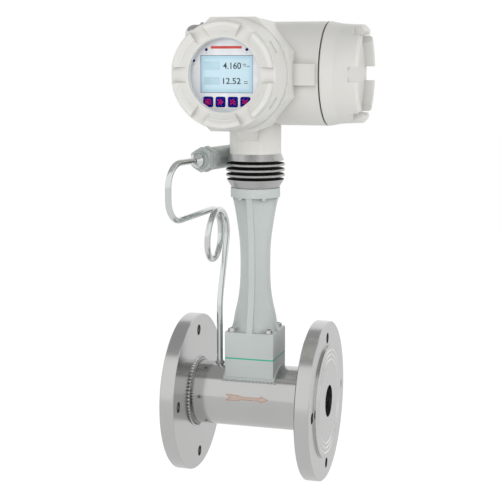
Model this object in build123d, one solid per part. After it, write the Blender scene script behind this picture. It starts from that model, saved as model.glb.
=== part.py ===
from build123d import *
import os
from math import cos, hypot, radians, sin, sqrt, tan

# Vortex flow meter with a flanged flow tube, a ribbed stem, a finned cooler and an L-shaped head.
# Every shape is drawn about the stem's axis, with the flow along X and the display facing -Y.
# The last step moves all of it so that the origin is the centre of the inlet flange's bolting face.

# Flow tube and flanges
FACE_TO_FACE = 158.0
FLANGE_OD = 165.0
FLANGE_THICK = 17.0
BOLT_EDGE = 16.25
BOLT_HOLE = 11.2
BOLT_COUNT = 4
RAISED_GAP = 1.65
RAISED_STEP = 2.0
GROOVE_WIDTH = 1.6
GROOVE_PITCH = 5.0
GROOVE_COUNT = 3
FLOW_BORE = 33.0
TUBE_OD = 66.0
WELD_SIZE = 3.4
TAP_HOLE = 3.0

# Blocks, gasket and sensor
BLOCK_LENGTH = 52.0
BLOCK_WIDTH = 48.0
BLOCK_RISE = 10.5
BLOCK_WELD = 1.5
GASKET_THICK = 1.4
UPPER_BLOCK = 26.4
SENSOR_RADIUS = 9.0
SENSOR_FLANGE = 15.0
BLOCK_SCREW = 5.0

# Column and cooler
COLUMN_HEIGHT = 148.2
COLLAR_RADIUS = 25.3
COLLAR_HEIGHT = 9.5
RIB_WIDTH = 6.5
RIB_STEP = 2.6
WEB_MARGIN = 0.7
WIRE_BORE = 6.5
COOLER_HEIGHT = 34.9
FIN_RADIUS = 30.1
FIN_THICK = 2.3
COOLER_CORE = 21.0

# Head
NECK_RADIUS = 26.2
NECK_HEIGHT = 26.25
HEAD_MARGIN = 0.55
HEAD_FRONT = 78.2
HEAD_DRAFT = 1.94
BACK_WALL = 0.8
SIDE_RADIUS = 51.2
SIDE_WALL = 5.4
SIDE_END = 76.0
THREAD_LENGTH = 15.0
SLIDE_GAP = 0.3
RUN_GAP = 0.05
GLAND_RADIUS = 10.0

# Display, which sets the size of the window, the cover and the head round it
LCD_WIDTH = 51.2
LCD_HEIGHT = 34.9
LCD_RISE = 0.7
KEY_SIZE = 9.4
KEY_GAP = 2.7
KEY_DROP = 3.65
KEY_LIP = 0.8
KEY_TRAVEL = 0.4
PANEL_MARGIN = 0.3
PANEL_THICK = 1.5

# Display cover and window
WINDOW_MARGIN = 3.0
COVER_LEDGE = 3.1
THREAD_LEDGE = 4.4
COVER_WALL = 6.8
COVER_LENGTH = 36.5
COVER_SEAM = 0.7
GLASS_THICK = 5.0
NOTCH_WIDTH = 14.0
NOTCH_DEPTH = 6.0
NOTCH_COUNT = 6

# Side cover and terminals
SIDE_COVER_LENGTH = 36.5
SIDE_SEAM = 1.2
TERMINAL_PITCH = 10.0
TERMINAL_COUNT = 6
TERMINAL_HEIGHT = 16.0
TERMINAL_DEPTH = 12.0
PLATE_THICK = 3.0
PLATE_DEPTH = 48.0
WIRE_INSET = 18.0

# Pressure sensor, fitting and impulse tube
TAPPING_TUBE = 6.4
FITTING_HEX = 22.0
FITTING_HEIGHT = 8.0
NUT_HEIGHT = 9.0
STUB_RADIUS = 7.0
STUB_LENGTH = 10.4
SENSOR_BODY = 11.6
SENSOR_LENGTH = 46.4
SENSOR_TURN = 13.0
ARM_WIDTH = 21.0
ARM_HEIGHT = 12.0
COIL_RADIUS = 26.0
COIL_PITCH = 7.0
COIL_TURN = 472.0
COIL_DROP = 53.3
STRAND_RISE = 5.0
BEND_RADIUS = 23.0
TUBE_STRAIGHT = 36.5

# Sizes that follow from those above
BOLT_CIRCLE = FLANGE_OD - 2 * BOLT_EDGE
RAISED_OD = BOLT_CIRCLE - BOLT_HOLE - 2 * RAISED_GAP
BLOCK_TOP = TUBE_OD / 2 + BLOCK_RISE
KEY_PITCH = KEY_SIZE + KEY_GAP
KEY_ROW = LCD_RISE - LCD_HEIGHT / 2 - KEY_DROP - KEY_SIZE / 2
KEY_REACH = KEY_SIZE / 2 + KEY_LIP
WINDOW_RADIUS = hypot(LCD_WIDTH / 2, LCD_HEIGHT / 2 + LCD_RISE) + WINDOW_MARGIN
PANEL_RADIUS = hypot(1.5 * KEY_PITCH + KEY_REACH, KEY_REACH - KEY_ROW) + PANEL_MARGIN
CHAMBER_RADIUS = PANEL_RADIUS + COVER_LEDGE
FRONT_BORE = CHAMBER_RADIUS + THREAD_LEDGE
COVER_RADIUS = FRONT_BORE + COVER_WALL
HEAD_ACROSS = 2 * (COVER_RADIUS + HEAD_MARGIN)
HEAD_BACK = SIDE_RADIUS + BACK_WALL
SIDE_BORE = SIDE_RADIUS - SIDE_WALL
SIDE_CHAMBER = SIDE_BORE - THREAD_LEDGE + 0.6

# Levels above the flow axis, from the bottom up
COLUMN_BASE = BLOCK_TOP + GASKET_THICK
COLUMN_FOOT = COLUMN_BASE + UPPER_BLOCK
COLLAR_TOP = COLUMN_FOOT + COLUMN_HEIGHT
COLLAR_FOOT = COLLAR_TOP - COLLAR_HEIGHT
NECK_FOOT = COLLAR_TOP + COOLER_HEIGHT
HEAD_Z = NECK_FOOT + NECK_HEIGHT + HEAD_ACROSS / 2

# Directions: FRONT has its Z axis towards the reader of the display, SIDE along the flow
FRONT = Pos(0, 0, HEAD_Z) * Rot(90, 0, 0)
SIDE = Pos(0, 0, HEAD_Z) * Rot(0, 90, 0)
FLOW = Rot(0, 90, 0)


def turned(points):
    """A solid of revolution about Z from its outline as (radius, height) pairs."""
    corners = [(r, 0, h) for r, h in points]
    return revolve(make_face(Polyline(*corners, close=True)), Axis.Z)


def ring(outer, inner, low, high):
    """A flat ring about Z between two heights."""
    return turned([(inner, low), (outer, low), (outer, high), (inner, high)])


def rod(radius, low, high):
    """A round bar about Z between two heights."""
    return Pos(0, 0, low) * Cylinder(radius, high - low, align=(Align.CENTER, Align.CENTER, Align.MIN))


def hexagon(across, low, high):
    """A hexagonal bar about Z with its long corners taken off at both ends."""
    bar = Pos(0, 0, low) * extrude(RegularPolygon(across / 2, 6, major_radius=False), high - low)
    corner = across / sqrt(3)
    lift = (corner - across / 2) * tan(radians(30))
    flat = across / 2
    low_end = [(0, low), (flat, low), (corner, low + lift)]
    high_end = [(corner, high - lift), (flat, high), (0, high)]
    return bar & turned(low_end + high_end)


def socket_screw(head, depth, shank, length):
    """A socket-head screw with the underside of its head at Z = 0 and its shank below."""
    body = rod(head, 0, depth) + rod(shank, -length, 0)
    top = body.edges().filter_by(GeomType.CIRCLE).sort_by(Axis.Z)[-1]
    body = chamfer(top, head * 0.1)
    return body - Pos(0, 0, depth * 0.4) * extrude(RegularPolygon(head * 0.5, 6), depth)


def around(shape, count, start=0.0):
    """Copies of a shape at equal angles about Z."""
    return [Rot(0, 0, start + 360 / count * i) * shape for i in range(count)]


parts = {}

# Flow tube with the sensor hole and the pressure tapping
tube_half = FACE_TO_FACE / 2 - FLANGE_THICK
TAP_X = -(BLOCK_LENGTH / 2 + 12.7)
tube = FLOW * ring(TUBE_OD / 2, FLOW_BORE / 2, -tube_half, tube_half)
tube -= rod(SENSOR_RADIUS, 0, TUBE_OD)
tube -= Pos(TAP_X, 0, 0) * rod(TAP_HOLE / 2, 0, TUBE_OD)
parts["flow_tube"] = tube

# Flanges with raised faces, gasket grooves and bolt holes
flange = turned([
    (FLOW_BORE / 2, 0),
    (RAISED_OD / 2, 0),
    (RAISED_OD / 2, RAISED_STEP),
    (FLANGE_OD / 2 - 1.0, RAISED_STEP),
    (FLANGE_OD / 2, RAISED_STEP + 1.0),
    (FLANGE_OD / 2, FLANGE_THICK - 1.0),
    (FLANGE_OD / 2 - 1.0, FLANGE_THICK),
    (FLOW_BORE / 2, FLANGE_THICK),
])
for i in range(GROOVE_COUNT):
    groove = RAISED_OD / 2 - 5.9 - i * GROOVE_PITCH
    inner, outer = groove - GROOVE_WIDTH / 2, groove + GROOVE_WIDTH / 2
    flange -= turned([(inner, -1), (outer, -1), (outer, 0.2), (groove, 0.8), (inner, 0.2)])
bolt_hole = Pos(BOLT_CIRCLE / 2, 0, 0) * rod(BOLT_HOLE / 2, -1, FLANGE_THICK + 1)
flange = flange - around(bolt_hole, BOLT_COUNT)
parts["inlet_flange"] = Pos(-FACE_TO_FACE / 2, 0, 0) * FLOW * flange
parts["outlet_flange"] = Pos(FACE_TO_FACE / 2, 0, 0) * Rot(0, -90, 0) * flange

# Weld beads between the tube and the flanges, domed in section
bead_low = TUBE_OD / 2
bead_face = make_face([
    Line((bead_low, 0, 0), (bead_low + WELD_SIZE, 0, 0)),
    ThreePointArc(
        (bead_low + WELD_SIZE, 0, 0),
        (bead_low + WELD_SIZE * 0.66, 0, WELD_SIZE * 0.66),
        (bead_low, 0, WELD_SIZE),
    ),
    Line((bead_low, 0, WELD_SIZE), (bead_low, 0, 0)),
])
bead = revolve(bead_face, Axis.Z)
parts["inlet_weld"] = Pos(-tube_half, 0, 0) * FLOW * bead
parts["outlet_weld"] = Pos(tube_half, 0, 0) * Rot(0, -90, 0) * bead

# Shedder bar across the bore, upstream of the probe
bar_width = FLOW_BORE * 0.28
bar_depth = bar_width * 1.25
bar_x = -SENSOR_RADIUS - bar_depth / 2 - 1.5
bar_plan = Polyline(
    (bar_x - bar_depth / 2, -bar_width / 2),
    (bar_x - bar_depth / 2 + 1.5, -bar_width / 2),
    (bar_x + bar_depth / 2, -bar_width / 6),
    (bar_x + bar_depth / 2, bar_width / 6),
    (bar_x - bar_depth / 2 + 1.5, bar_width / 2),
    (bar_x - bar_depth / 2, bar_width / 2),
    close=True,
)
bar = extrude(make_face(bar_plan), FLOW_BORE / 2, both=True)
parts["shedder_bar"] = bar & FLOW * rod(FLOW_BORE / 2, -tube_half, tube_half)

# Lower block, saddled on the tube, with a seat for the sensor's flange
saddle = FLOW * rod(TUBE_OD / 2, -FACE_TO_FACE, FACE_TO_FACE)
seat_depth = 4.0
lower_block = Pos(0, 0, BLOCK_TOP / 2) * Box(BLOCK_LENGTH, BLOCK_WIDTH, BLOCK_TOP)
lower_block = fillet(lower_block.edges().filter_by(Axis.Z), 0.8)
lower_block -= saddle
lower_block -= rod(SENSOR_RADIUS, 0, BLOCK_TOP + 1)
lower_block -= rod(SENSOR_FLANGE, BLOCK_TOP - seat_depth, BLOCK_TOP + 1)
screw_x = BLOCK_LENGTH / 2 - 6.3
screw_y = BLOCK_WIDTH / 2 - 5.8
screw_spots = [(x, y) for x in (-screw_x, screw_x) for y in (-screw_y, screw_y)]
screw_holes = [Pos(x, y, 0) * rod(BLOCK_SCREW / 2, BLOCK_TOP - 12, COLUMN_FOOT + 1) for x, y in screw_spots]
parts["lower_block"] = lower_block - screw_holes

# Weld round the foot of the lower block, lying on the tube
weld_prism = Box(BLOCK_LENGTH + 2 * BLOCK_WELD, BLOCK_WIDTH + 2 * BLOCK_WELD, TUBE_OD)
weld_prism = Pos(0, 0, TUBE_OD / 2) * fillet(weld_prism.edges().filter_by(Axis.Z), 2.0)
weld_band = weld_prism & FLOW * rod(TUBE_OD / 2 + BLOCK_WELD, -tube_half, tube_half)
weld_band -= saddle
block_prism = Pos(0, 0, BLOCK_TOP / 2) * Box(BLOCK_LENGTH, BLOCK_WIDTH, BLOCK_TOP)
block_prism = fillet(block_prism.edges().filter_by(Axis.Z), 0.8)
parts["block_weld"] = weld_band - block_prism

# Green gasket between the two blocks
gasket = Pos(0, 0, BLOCK_TOP + GASKET_THICK / 2) * Box(BLOCK_LENGTH, BLOCK_WIDTH, GASKET_THICK)
gasket = fillet(gasket.edges().filter_by(Axis.Z), 0.8)
gasket -= rod(SENSOR_FLANGE + 1, BLOCK_TOP - 1, COLUMN_BASE + 1)
parts["block_gasket"] = gasket - screw_holes

# Sensor: flange, body and a vane that hangs in the flow behind the shedder bar
vane_low = -FLOW_BORE * 0.2
probe = rod(SENSOR_FLANGE, BLOCK_TOP - seat_depth + 1.2, BLOCK_TOP)
probe += rod(SENSOR_RADIUS - 1.0, FLOW_BORE / 2 + 1, BLOCK_TOP)
probe += rod(SENSOR_RADIUS * 0.45, FLOW_BORE * 0.3, FLOW_BORE / 2 + 1)
vane_height = FLOW_BORE * 0.32 - vane_low
probe += Pos(0, 0, vane_low + vane_height / 2) * Box(SENSOR_RADIUS, 3.0, vane_height)
probe += rod(WIRE_BORE * 0.6, BLOCK_TOP, COLUMN_FOOT)
parts["sensor_probe"] = probe
parts["sensor_seal"] = ring(
    SENSOR_FLANGE, SENSOR_RADIUS, BLOCK_TOP - seat_depth, BLOCK_TOP - seat_depth + 1.2
)

# Column casting: four ribs whose reach, and the hollow between them, change with height
levels = [
    (0.000, 1.000, 0.830),
    (0.022, 0.925, 0.735),
    (0.101, 0.835, 0.585),
    (0.198, 0.719, 0.480),
    (0.296, 0.631, 0.425),
    (0.503, 0.588, 0.395),
    (0.657, 0.615, 0.405),
    (0.810, 0.727, 0.450),
    (0.962, 0.885, 0.520),
    (1.000, 0.950, 0.545),
]
rib_span = COLLAR_FOOT - COLUMN_FOOT
half_length = BLOCK_LENGTH / 2
half_width = BLOCK_WIDTH / 2


def column_section(share, reach, hollow):
    """The column's outline at one level: four square ribs with a curved web between each two."""
    level = COLUMN_FOOT + share * rib_span
    long_reach = reach * ((1 - share) * half_length + share * COLLAR_RADIUS)
    wide_reach = reach * ((1 - share) * half_width + share * COLLAR_RADIUS)
    edge = RIB_WIDTH / 2
    web_span = (1 - share) * half_length + share * (COLLAR_RADIUS + WEB_MARGIN)
    web = hollow * web_span * cos(radians(45))
    lines = []
    for sx, sy in ((1, 1), (-1, 1), (-1, -1), (1, -1)):
        long_end = [(sx * long_reach, sy * edge, level), (sx * (long_reach - RIB_STEP), sy * edge, level)]
        wide_end = [(sx * edge, sy * (wide_reach - RIB_STEP), level), (sx * edge, sy * wide_reach, level)]
        web_line = Spline(long_end[1], (sx * web, sy * web, level), wide_end[0])
        quarter = [Line(*long_end), web_line, Line(*wide_end)]
        lines += quarter if sx * sy > 0 else quarter[::-1]
        if sx * sy > 0:
            lines.append(Line(wide_end[1], (-sx * edge, sy * wide_reach, level)))
        else:
            lines.append(Line(long_end[0], (sx * long_reach, -sy * edge, level)))
    return make_face(lines)


column = loft([column_section(*level) for level in levels])
upper = Pos(0, 0, COLUMN_BASE + UPPER_BLOCK / 2) * Box(BLOCK_LENGTH, BLOCK_WIDTH, UPPER_BLOCK)
upper = fillet(upper.edges().filter_by(Axis.Z), 0.8)
column += upper
collar = rod(COLLAR_RADIUS, COLLAR_FOOT, COLLAR_TOP)
column += collar
column -= rod(WIRE_BORE, COLUMN_BASE - 1, COLLAR_TOP + 1)
collar_screw_r = COLLAR_RADIUS * 0.66
collar_screw = BLOCK_SCREW * 0.6
collar_hole = Pos(collar_screw_r, 0, 0) * rod(collar_screw / 2, COLLAR_FOOT - 8, COLLAR_TOP + 7)
collar_holes = around(collar_hole, 4, 45)
parts["column"] = column - screw_holes - collar_holes

screw_length = COLUMN_FOOT - BLOCK_TOP + 10
block_screw = socket_screw(BLOCK_SCREW * 0.82, BLOCK_SCREW * 0.8, BLOCK_SCREW / 2, screw_length)
parts["block_screws"] = Compound([Pos(x, y, COLUMN_FOOT) * block_screw for x, y in screw_spots])
small_screw = socket_screw(collar_screw * 0.85, collar_screw, collar_screw / 2, COLLAR_HEIGHT + 5)
small_screw = Pos(collar_screw_r, 0, COLLAR_FOOT) * Rot(180, 0, 0) * small_screw
parts["collar_screws"] = Compound(around(small_screw, 4, 45))

# Finned cooler: two cones with three thin fins between them
fin_span = COOLER_HEIGHT - 8.7 - 6.9
fin_gap = (fin_span - 3 * FIN_THICK) / 4
cooler_points = [(WIRE_BORE, 0), (NECK_RADIUS - 1.8, 0), (NECK_RADIUS - 1.4, 1.1), (FIN_RADIUS - 1.0, 8.0)]
cooler_points += [(FIN_RADIUS - 1.0, 8.7), (COOLER_CORE, 8.7)]
for i in range(3):
    low = 8.7 + fin_gap + i * (fin_gap + FIN_THICK)
    cooler_points += [(COOLER_CORE, low), (FIN_RADIUS - 0.5, low), (FIN_RADIUS, low + 0.5)]
    cooler_points += [(FIN_RADIUS, low + FIN_THICK - 0.5), (FIN_RADIUS - 0.5, low + FIN_THICK)]
    cooler_points += [(COOLER_CORE, low + FIN_THICK)]
cooler_points += [(COOLER_CORE, COOLER_HEIGHT - 6.9), (FIN_RADIUS - 1.1, COOLER_HEIGHT - 6.9)]
cooler_points += [(NECK_RADIUS, COOLER_HEIGHT), (WIRE_BORE, COOLER_HEIGHT)]
cooler = Pos(0, 0, COLLAR_TOP) * turned(cooler_points)
parts["cooler"] = cooler - collar_holes

# Housing casting
draft = tan(radians(HEAD_DRAFT))
front_plan = RegularPolygon(HEAD_ACROSS / 2, 8, major_radius=False, rotation=22.5)
back_apothem = HEAD_ACROSS / 2 - (HEAD_FRONT + HEAD_BACK) * draft
back_plan = RegularPolygon(back_apothem, 8, major_radius=False, rotation=22.5)
back_bevel = 4.0
end_plan = RegularPolygon(back_apothem - back_bevel, 8, major_radius=False, rotation=22.5)
front_plan = fillet(front_plan.vertices(), 2.0)
back_plan = fillet(back_plan.vertices(), 2.0)
end_plan = fillet(end_plan.vertices(), 2.0)
octagon = loft([Pos(0, 0, back_bevel - HEAD_BACK) * back_plan, Pos(0, 0, HEAD_FRONT) * front_plan])
octagon += loft([Pos(0, 0, -HEAD_BACK) * end_plan, Pos(0, 0, back_bevel - HEAD_BACK) * back_plan])
housing = FRONT * octagon
housing += SIDE * rod(SIDE_RADIUS, 0, SIDE_END)
housing += rod(NECK_RADIUS, NECK_FOOT, HEAD_Z - CHAMBER_RADIUS)

# Sloped web in front of the neck
web_top = HEAD_Z - HEAD_ACROSS / 2 + 1.5
web_low = NECK_FOOT + NECK_HEIGHT * 0.55
web = make_face(Polyline(
    (0, 0, web_low),
    (0, -NECK_RADIUS, web_low),
    (0, -NECK_RADIUS - (web_top - web_low), web_top),
    (0, 0, web_top),
    close=True,
))
housing += extrude(web, 10.0, both=True)

# Rating plate pad on the near side of the terminal chamber
pad_x = SIDE_END - 13.9
pad_height = 20.8
pad_front = SIDE_RADIUS + 5.8
housing += Pos(pad_x, -pad_front / 2, HEAD_Z) * Box(23.6, pad_front, pad_height)

# Cable gland boss on the upper left face, opening into the terminal chamber
gland_y = -22.0
gland_z = HEAD_Z + HEAD_ACROSS / 2 - 15.35
gland_seat = HEAD_ACROSS / 2 - 7.35
GLAND = Pos(0, gland_y, gland_z) * Rot(0, -90, 0)
housing += GLAND * rod(GLAND_RADIUS + 0.3, 20, gland_seat)

# Rear boss for the blanking plug
plug_x = SIDE_END - 28.0
plug_seat = SIDE_RADIUS + 3.0
PLUG = Pos(plug_x, 0, HEAD_Z) * Rot(-90, 0, 0)
plug_bore = 8.0
plug_boss = 14.0
housing += PLUG * rod(plug_boss, SIDE_BORE - 2, plug_seat)

# Flat seat on the neck for the pressure sensor's arm
arm_turn = 140.0
arm_seat = NECK_RADIUS + 2.3
arm_low = NECK_FOOT + 0.6
arm_middle = arm_low + ARM_HEIGHT / 2
ARM = Rot(0, 0, arm_turn)
housing += ARM * Pos(arm_seat / 2, 0, arm_middle) * Box(arm_seat, ARM_WIDTH, ARM_HEIGHT)

# Hollow chambers, wire passages and threads' smooth bores
chamber_floor = SIDE_CHAMBER + 8.0
ledge_x = SIDE_END - PLATE_DEPTH
housing -= FRONT * rod(FRONT_BORE, HEAD_FRONT - THREAD_LENGTH - 1.2, HEAD_FRONT + 1)
housing -= FRONT * rod(CHAMBER_RADIUS, chamber_floor, HEAD_FRONT)
housing -= SIDE * rod(SIDE_BORE, ledge_x, SIDE_END + 1)
housing -= SIDE * rod(SIDE_CHAMBER, -14.0, ledge_x + 1)
housing -= rod(WIRE_BORE, NECK_FOOT - 1, HEAD_Z)
housing -= Pos(10, 0, 0) * FRONT * rod(7.0, 0, chamber_floor + 1)
housing -= GLAND * rod(GLAND_RADIUS * 0.75, -5, gland_seat + 1)
housing -= PLUG * rod(plug_bore, 0, plug_seat + 1)
arm_screw_y = ARM_WIDTH / 2 - 3.2
arm_screws_at = [(-arm_screw_y, arm_middle), (arm_screw_y, arm_middle)]
arm_hole = Rot(0, 90, 0) * rod(1.5, arm_seat - 6, arm_seat + 6)
arm_holes = [ARM * Pos(0, y, z) * arm_hole for y, z in arm_screws_at]
housing = housing - arm_holes
parts["housing"] = housing

# Display cover: a screwed ring with six notches, made in the front direction
cover_low = HEAD_FRONT + COVER_SEAM
cover_top = cover_low + COVER_LENGTH
step = cover_top - NOTCH_DEPTH
glass_front = step - 5.4
glass_back = glass_front - GLASS_THICK
spigot = FRONT_BORE - SLIDE_GAP
cover_face = make_face(Polyline(*[(r, 0, h) for r, h in [
    (CHAMBER_RADIUS, cover_low - THREAD_LENGTH),
    (spigot, cover_low - THREAD_LENGTH),
    (spigot, cover_low),
    (COVER_RADIUS - 0.4, cover_low),
    (COVER_RADIUS, cover_low + 0.6),
    (COVER_RADIUS, cover_low + 3.6),
    (COVER_RADIUS - 2.7, step - 0.5),
    (COVER_RADIUS - 4.0, step),
    (COVER_RADIUS - 4.0, cover_top),
    (COVER_RADIUS - 8.3, cover_top),
    (WINDOW_RADIUS + 2.4, step + 0.1),
    (WINDOW_RADIUS, step - 1.1),
    (WINDOW_RADIUS, glass_front),
    (CHAMBER_RADIUS - 2.0, glass_front),
    (CHAMBER_RADIUS - 2.0, glass_back),
    (CHAMBER_RADIUS, glass_back),
]], close=True))
crest = [v for v in cover_face.vertices() if abs(v.Z - cover_top) < 0.01]
cover_face = fillet(crest, 2.0)
cover = revolve(cover_face, Axis.Z)
notch = Pos(COVER_RADIUS - 6, 0, step + NOTCH_DEPTH) * Box(30, NOTCH_WIDTH, 2 * NOTCH_DEPTH)
cover = cover - around(notch, NOTCH_COUNT)
dash = Pos(COVER_RADIUS - 2.0, 0, cover_low + 18.5) * Rot(0, -7, 0) * Box(3.0, 12.0, 1.6)
cover = cover + [Rot(0, 0, 30) * dash, Rot(0, 0, -30) * dash]
parts["display_cover"] = FRONT * cover
parts["window_glass"] = FRONT * rod(CHAMBER_RADIUS - 2.0, glass_back, glass_front)
parts["glass_ring"] = FRONT * ring(CHAMBER_RADIUS, PANEL_RADIUS + 0.6, glass_back - 2.5, glass_back)
seal_r = (FRONT_BORE + COVER_RADIUS) / 2 - 1.0
parts["display_seal"] = FRONT * ring(seal_r + 1.0, spigot + RUN_GAP, HEAD_FRONT + SLIDE_GAP, cover_low)

# Display panel with openings for the screen, the keys and the lights
panel_front = glass_back - 1.6
panel_back = panel_front - PANEL_THICK
key_hole = KEY_SIZE + 2 * SLIDE_GAP
key_spots = [((i - 1.5) * KEY_PITCH, KEY_ROW) for i in range(4)]
light_x = LCD_WIDTH / 2 - 5.9
light_y = LCD_RISE + LCD_HEIGHT / 2 + 5.15
side_light = PANEL_RADIUS - 4.2
side_light_turn = radians(22.2)
light_spots = [(-light_x, light_y), (light_x, light_y)]
light_spots += [(-side_light * cos(side_light_turn), side_light * sin(side_light_turn))]
panel = rod(PANEL_RADIUS, panel_back, panel_front)
panel -= Pos(0, LCD_RISE, panel_back) * Box(LCD_WIDTH, LCD_HEIGHT, 4 * PANEL_THICK)
for x, y in key_spots:
    opening = fillet(Rectangle(key_hole, key_hole).vertices(), 1.8)
    panel -= Pos(x, y, panel_back - 1) * extrude(opening, PANEL_THICK + 2)
for x, y in light_spots:
    panel -= Pos(x, y, 0) * rod(1.4, panel_back - 1, panel_front + 1)
parts["display_panel"] = FRONT * panel
lights = [FRONT * Pos(x, y, 0) * rod(1.4, panel_back - 3, panel_front + 0.2) for x, y in light_spots]
parts["status_lights"] = Compound(lights)

# Liquid crystal module behind its opening, on the display board
board_front = panel_back - 7.0
board_back = board_front - 1.6
lcd = extrude(Pos(0, 0, panel_back) * Rectangle(LCD_WIDTH, LCD_HEIGHT), PANEL_THICK - 0.4)
lcd += extrude(Pos(0, 0, board_front + 1.2) * Rectangle(LCD_WIDTH + 4, LCD_HEIGHT + 3), 5.8)
lcd += extrude(Pos(0, 0, board_front) * Rectangle(LCD_WIDTH - 6, LCD_HEIGHT - 6), 1.2)
parts["lcd_module"] = FRONT * Pos(0, LCD_RISE, 0) * lcd
board = rod(PANEL_RADIUS - 2.5, board_back, board_front)
lip_back = panel_back - 1.5
switch_height = lip_back - KEY_TRAVEL - 0.1 - board_front
for x, y in key_spots:
    board += Pos(x, y, board_front + switch_height / 2) * Box(6, 6, switch_height)
parts["display_board"] = FRONT * board
post_x = LCD_WIDTH / 2 + 5.0
post_low = KEY_ROW + 10
post_high = light_y + 2
post_spots = [(6 - post_x, post_high), (post_x - 6, post_high), (-post_x, post_low), (post_x, post_low)]
posts = []
for x, y in post_spots:
    posts.append(FRONT * Pos(x, y, 0) * rod(2.2, chamber_floor, board_back))
    posts.append(FRONT * Pos(x, y, 0) * rod(2.2, board_front, panel_back))
parts["display_posts"] = Compound(posts)

# Four keys, each a cap with a lip that keeps it behind the panel
key_plan = fillet(Rectangle(KEY_SIZE, KEY_SIZE).vertices(), 1.5)
cap = extrude(Pos(0, 0, lip_back + 0.6) * key_plan, panel_front + KEY_TRAVEL + 0.1 - lip_back - 0.6)
cap = chamfer(cap.faces().sort_by(Axis.Z)[-1].edges(), 0.3)
lip = extrude(Pos(0, 0, lip_back) * Rectangle(2 * KEY_REACH, 2 * KEY_REACH), 1.2)
key = cap + lip
for name, spot in zip(("key_menu", "key_next", "key_up", "key_down"), key_spots):
    parts[name] = FRONT * Pos(spot[0], spot[1], 0) * key

# Side cover: a cap with a recessed end and six notches
side_low = SIDE_END + SIDE_SEAM
side_top = side_low + SIDE_COVER_LENGTH
side_step = side_top - 9.5
side_spigot = SIDE_BORE - SLIDE_GAP
side_inner = side_spigot - 4.0
side_face = make_face(Polyline(*[(r, 0, h) for r, h in [
    (0, side_step - 6.0),
    (side_inner, side_step - 6.0),
    (side_inner, side_low - THREAD_LENGTH),
    (side_spigot, side_low - THREAD_LENGTH),
    (side_spigot, side_low),
    (SIDE_RADIUS - 0.4, side_low),
    (SIDE_RADIUS, side_low + 0.5),
    (SIDE_RADIUS, side_low + 1.6),
    (SIDE_RADIUS - 2.3, side_low + 13.0),
    (SIDE_RADIUS - 3.4, side_top - 2.5),
    (SIDE_RADIUS - 5.9, side_top),
    (SIDE_RADIUS - 10.2, side_top),
    (SIDE_RADIUS - 11.7, side_step),
    (0, side_step),
]], close=True))
rim = [v for v in side_face.vertices() if abs(v.Z - side_top) < 0.01]
rim += [v for v in side_face.vertices() if abs(v.Z - side_top + 2.5) < 0.01]
side_face = fillet(rim, 1.2)
side_cover = revolve(side_face, Axis.Z)
side_notch = Pos(SIDE_RADIUS - 6, 0, side_step + 10) * Box(20, NOTCH_WIDTH, 20)
side_cover = side_cover - around(side_notch, NOTCH_COUNT, 90)
parts["side_cover"] = SIDE * side_cover
parts["side_seal"] = SIDE * ring(SIDE_RADIUS - 0.6, side_spigot + RUN_GAP, SIDE_END + SLIDE_GAP, side_low)

# Terminal plate on its ledge, with the terminal block and its screws
terminal_front = ledge_x + PLATE_THICK
wire_hole = Pos(SIDE_BORE - WIRE_INSET, 0, 0) * rod(5, ledge_x - 1, terminal_front + 1)
parts["terminal_plate"] = SIDE * (rod(SIDE_BORE, ledge_x, terminal_front) - wire_hole)
terminals = Box(TERMINAL_HEIGHT, TERMINAL_COUNT * TERMINAL_PITCH, TERMINAL_DEPTH)
terminals = Pos(0, 0, terminal_front + TERMINAL_DEPTH / 2) * terminals
way_spots = [(i - (TERMINAL_COUNT - 1) / 2) * TERMINAL_PITCH for i in range(TERMINAL_COUNT)]
way_floor = terminal_front + TERMINAL_DEPTH - 3.5
for y in way_spots:
    terminals -= Pos(0, y, way_floor + 2) * Box(TERMINAL_HEIGHT + 1, TERMINAL_PITCH - 1.6, 4)
parts["terminal_block"] = SIDE * terminals
way_screw = Pos(0, 0, way_floor) * (rod(2.8, 0, 2.2) - Pos(0, 0, 1.6) * Box(6, 0.8, 1.4))
parts["terminal_screws"] = Compound([SIDE * Pos(0, y, 0) * way_screw for y in way_spots])

# Cable gland, closed for transport by a rubber blank, and the blanking plug behind
gland_bore = GLAND_RADIUS * 0.45
gland = hexagon(2 * GLAND_RADIUS + 1, gland_seat, gland_seat + 4)
gland += rod(GLAND_RADIUS * 0.75, gland_seat - 12, gland_seat)
gland += rod(GLAND_RADIUS * 0.7, gland_seat + 4, gland_seat + 8)
parts["gland_body"] = GLAND * (gland - rod(gland_bore, gland_seat - 13, gland_seat + 9))
nut_low = gland_seat + 4
dome = nut_low + 6.2
dome_end = dome + sqrt(GLAND_RADIUS ** 2 - (gland_bore + 0.8) ** 2)
nut_face = make_face([
    *Polyline(
        (gland_bore + 0.8, 0, dome_end),
        (gland_bore + 0.8, 0, nut_low + 4),
        (GLAND_RADIUS * 0.7, 0, nut_low + 4),
        (GLAND_RADIUS * 0.7, 0, nut_low),
        (GLAND_RADIUS, 0, nut_low),
        (GLAND_RADIUS, 0, dome),
    ).edges(),
    ThreePointArc(
        (GLAND_RADIUS, 0, dome),
        (GLAND_RADIUS * cos(radians(29)), 0, dome + GLAND_RADIUS * sin(radians(29))),
        (gland_bore + 0.8, 0, dome_end),
    ),
])
parts["gland_nut"] = GLAND * revolve(nut_face, Axis.Z)
parts["gland_blank"] = GLAND * rod(gland_bore + 0.8, nut_low + 4, dome_end - 1.0)
plug = hexagon(2 * (plug_boss - 3), plug_seat, plug_seat + 6) + rod(plug_bore, SIDE_BORE, plug_seat)
parts["blanking_plug"] = PLUG * plug

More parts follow.
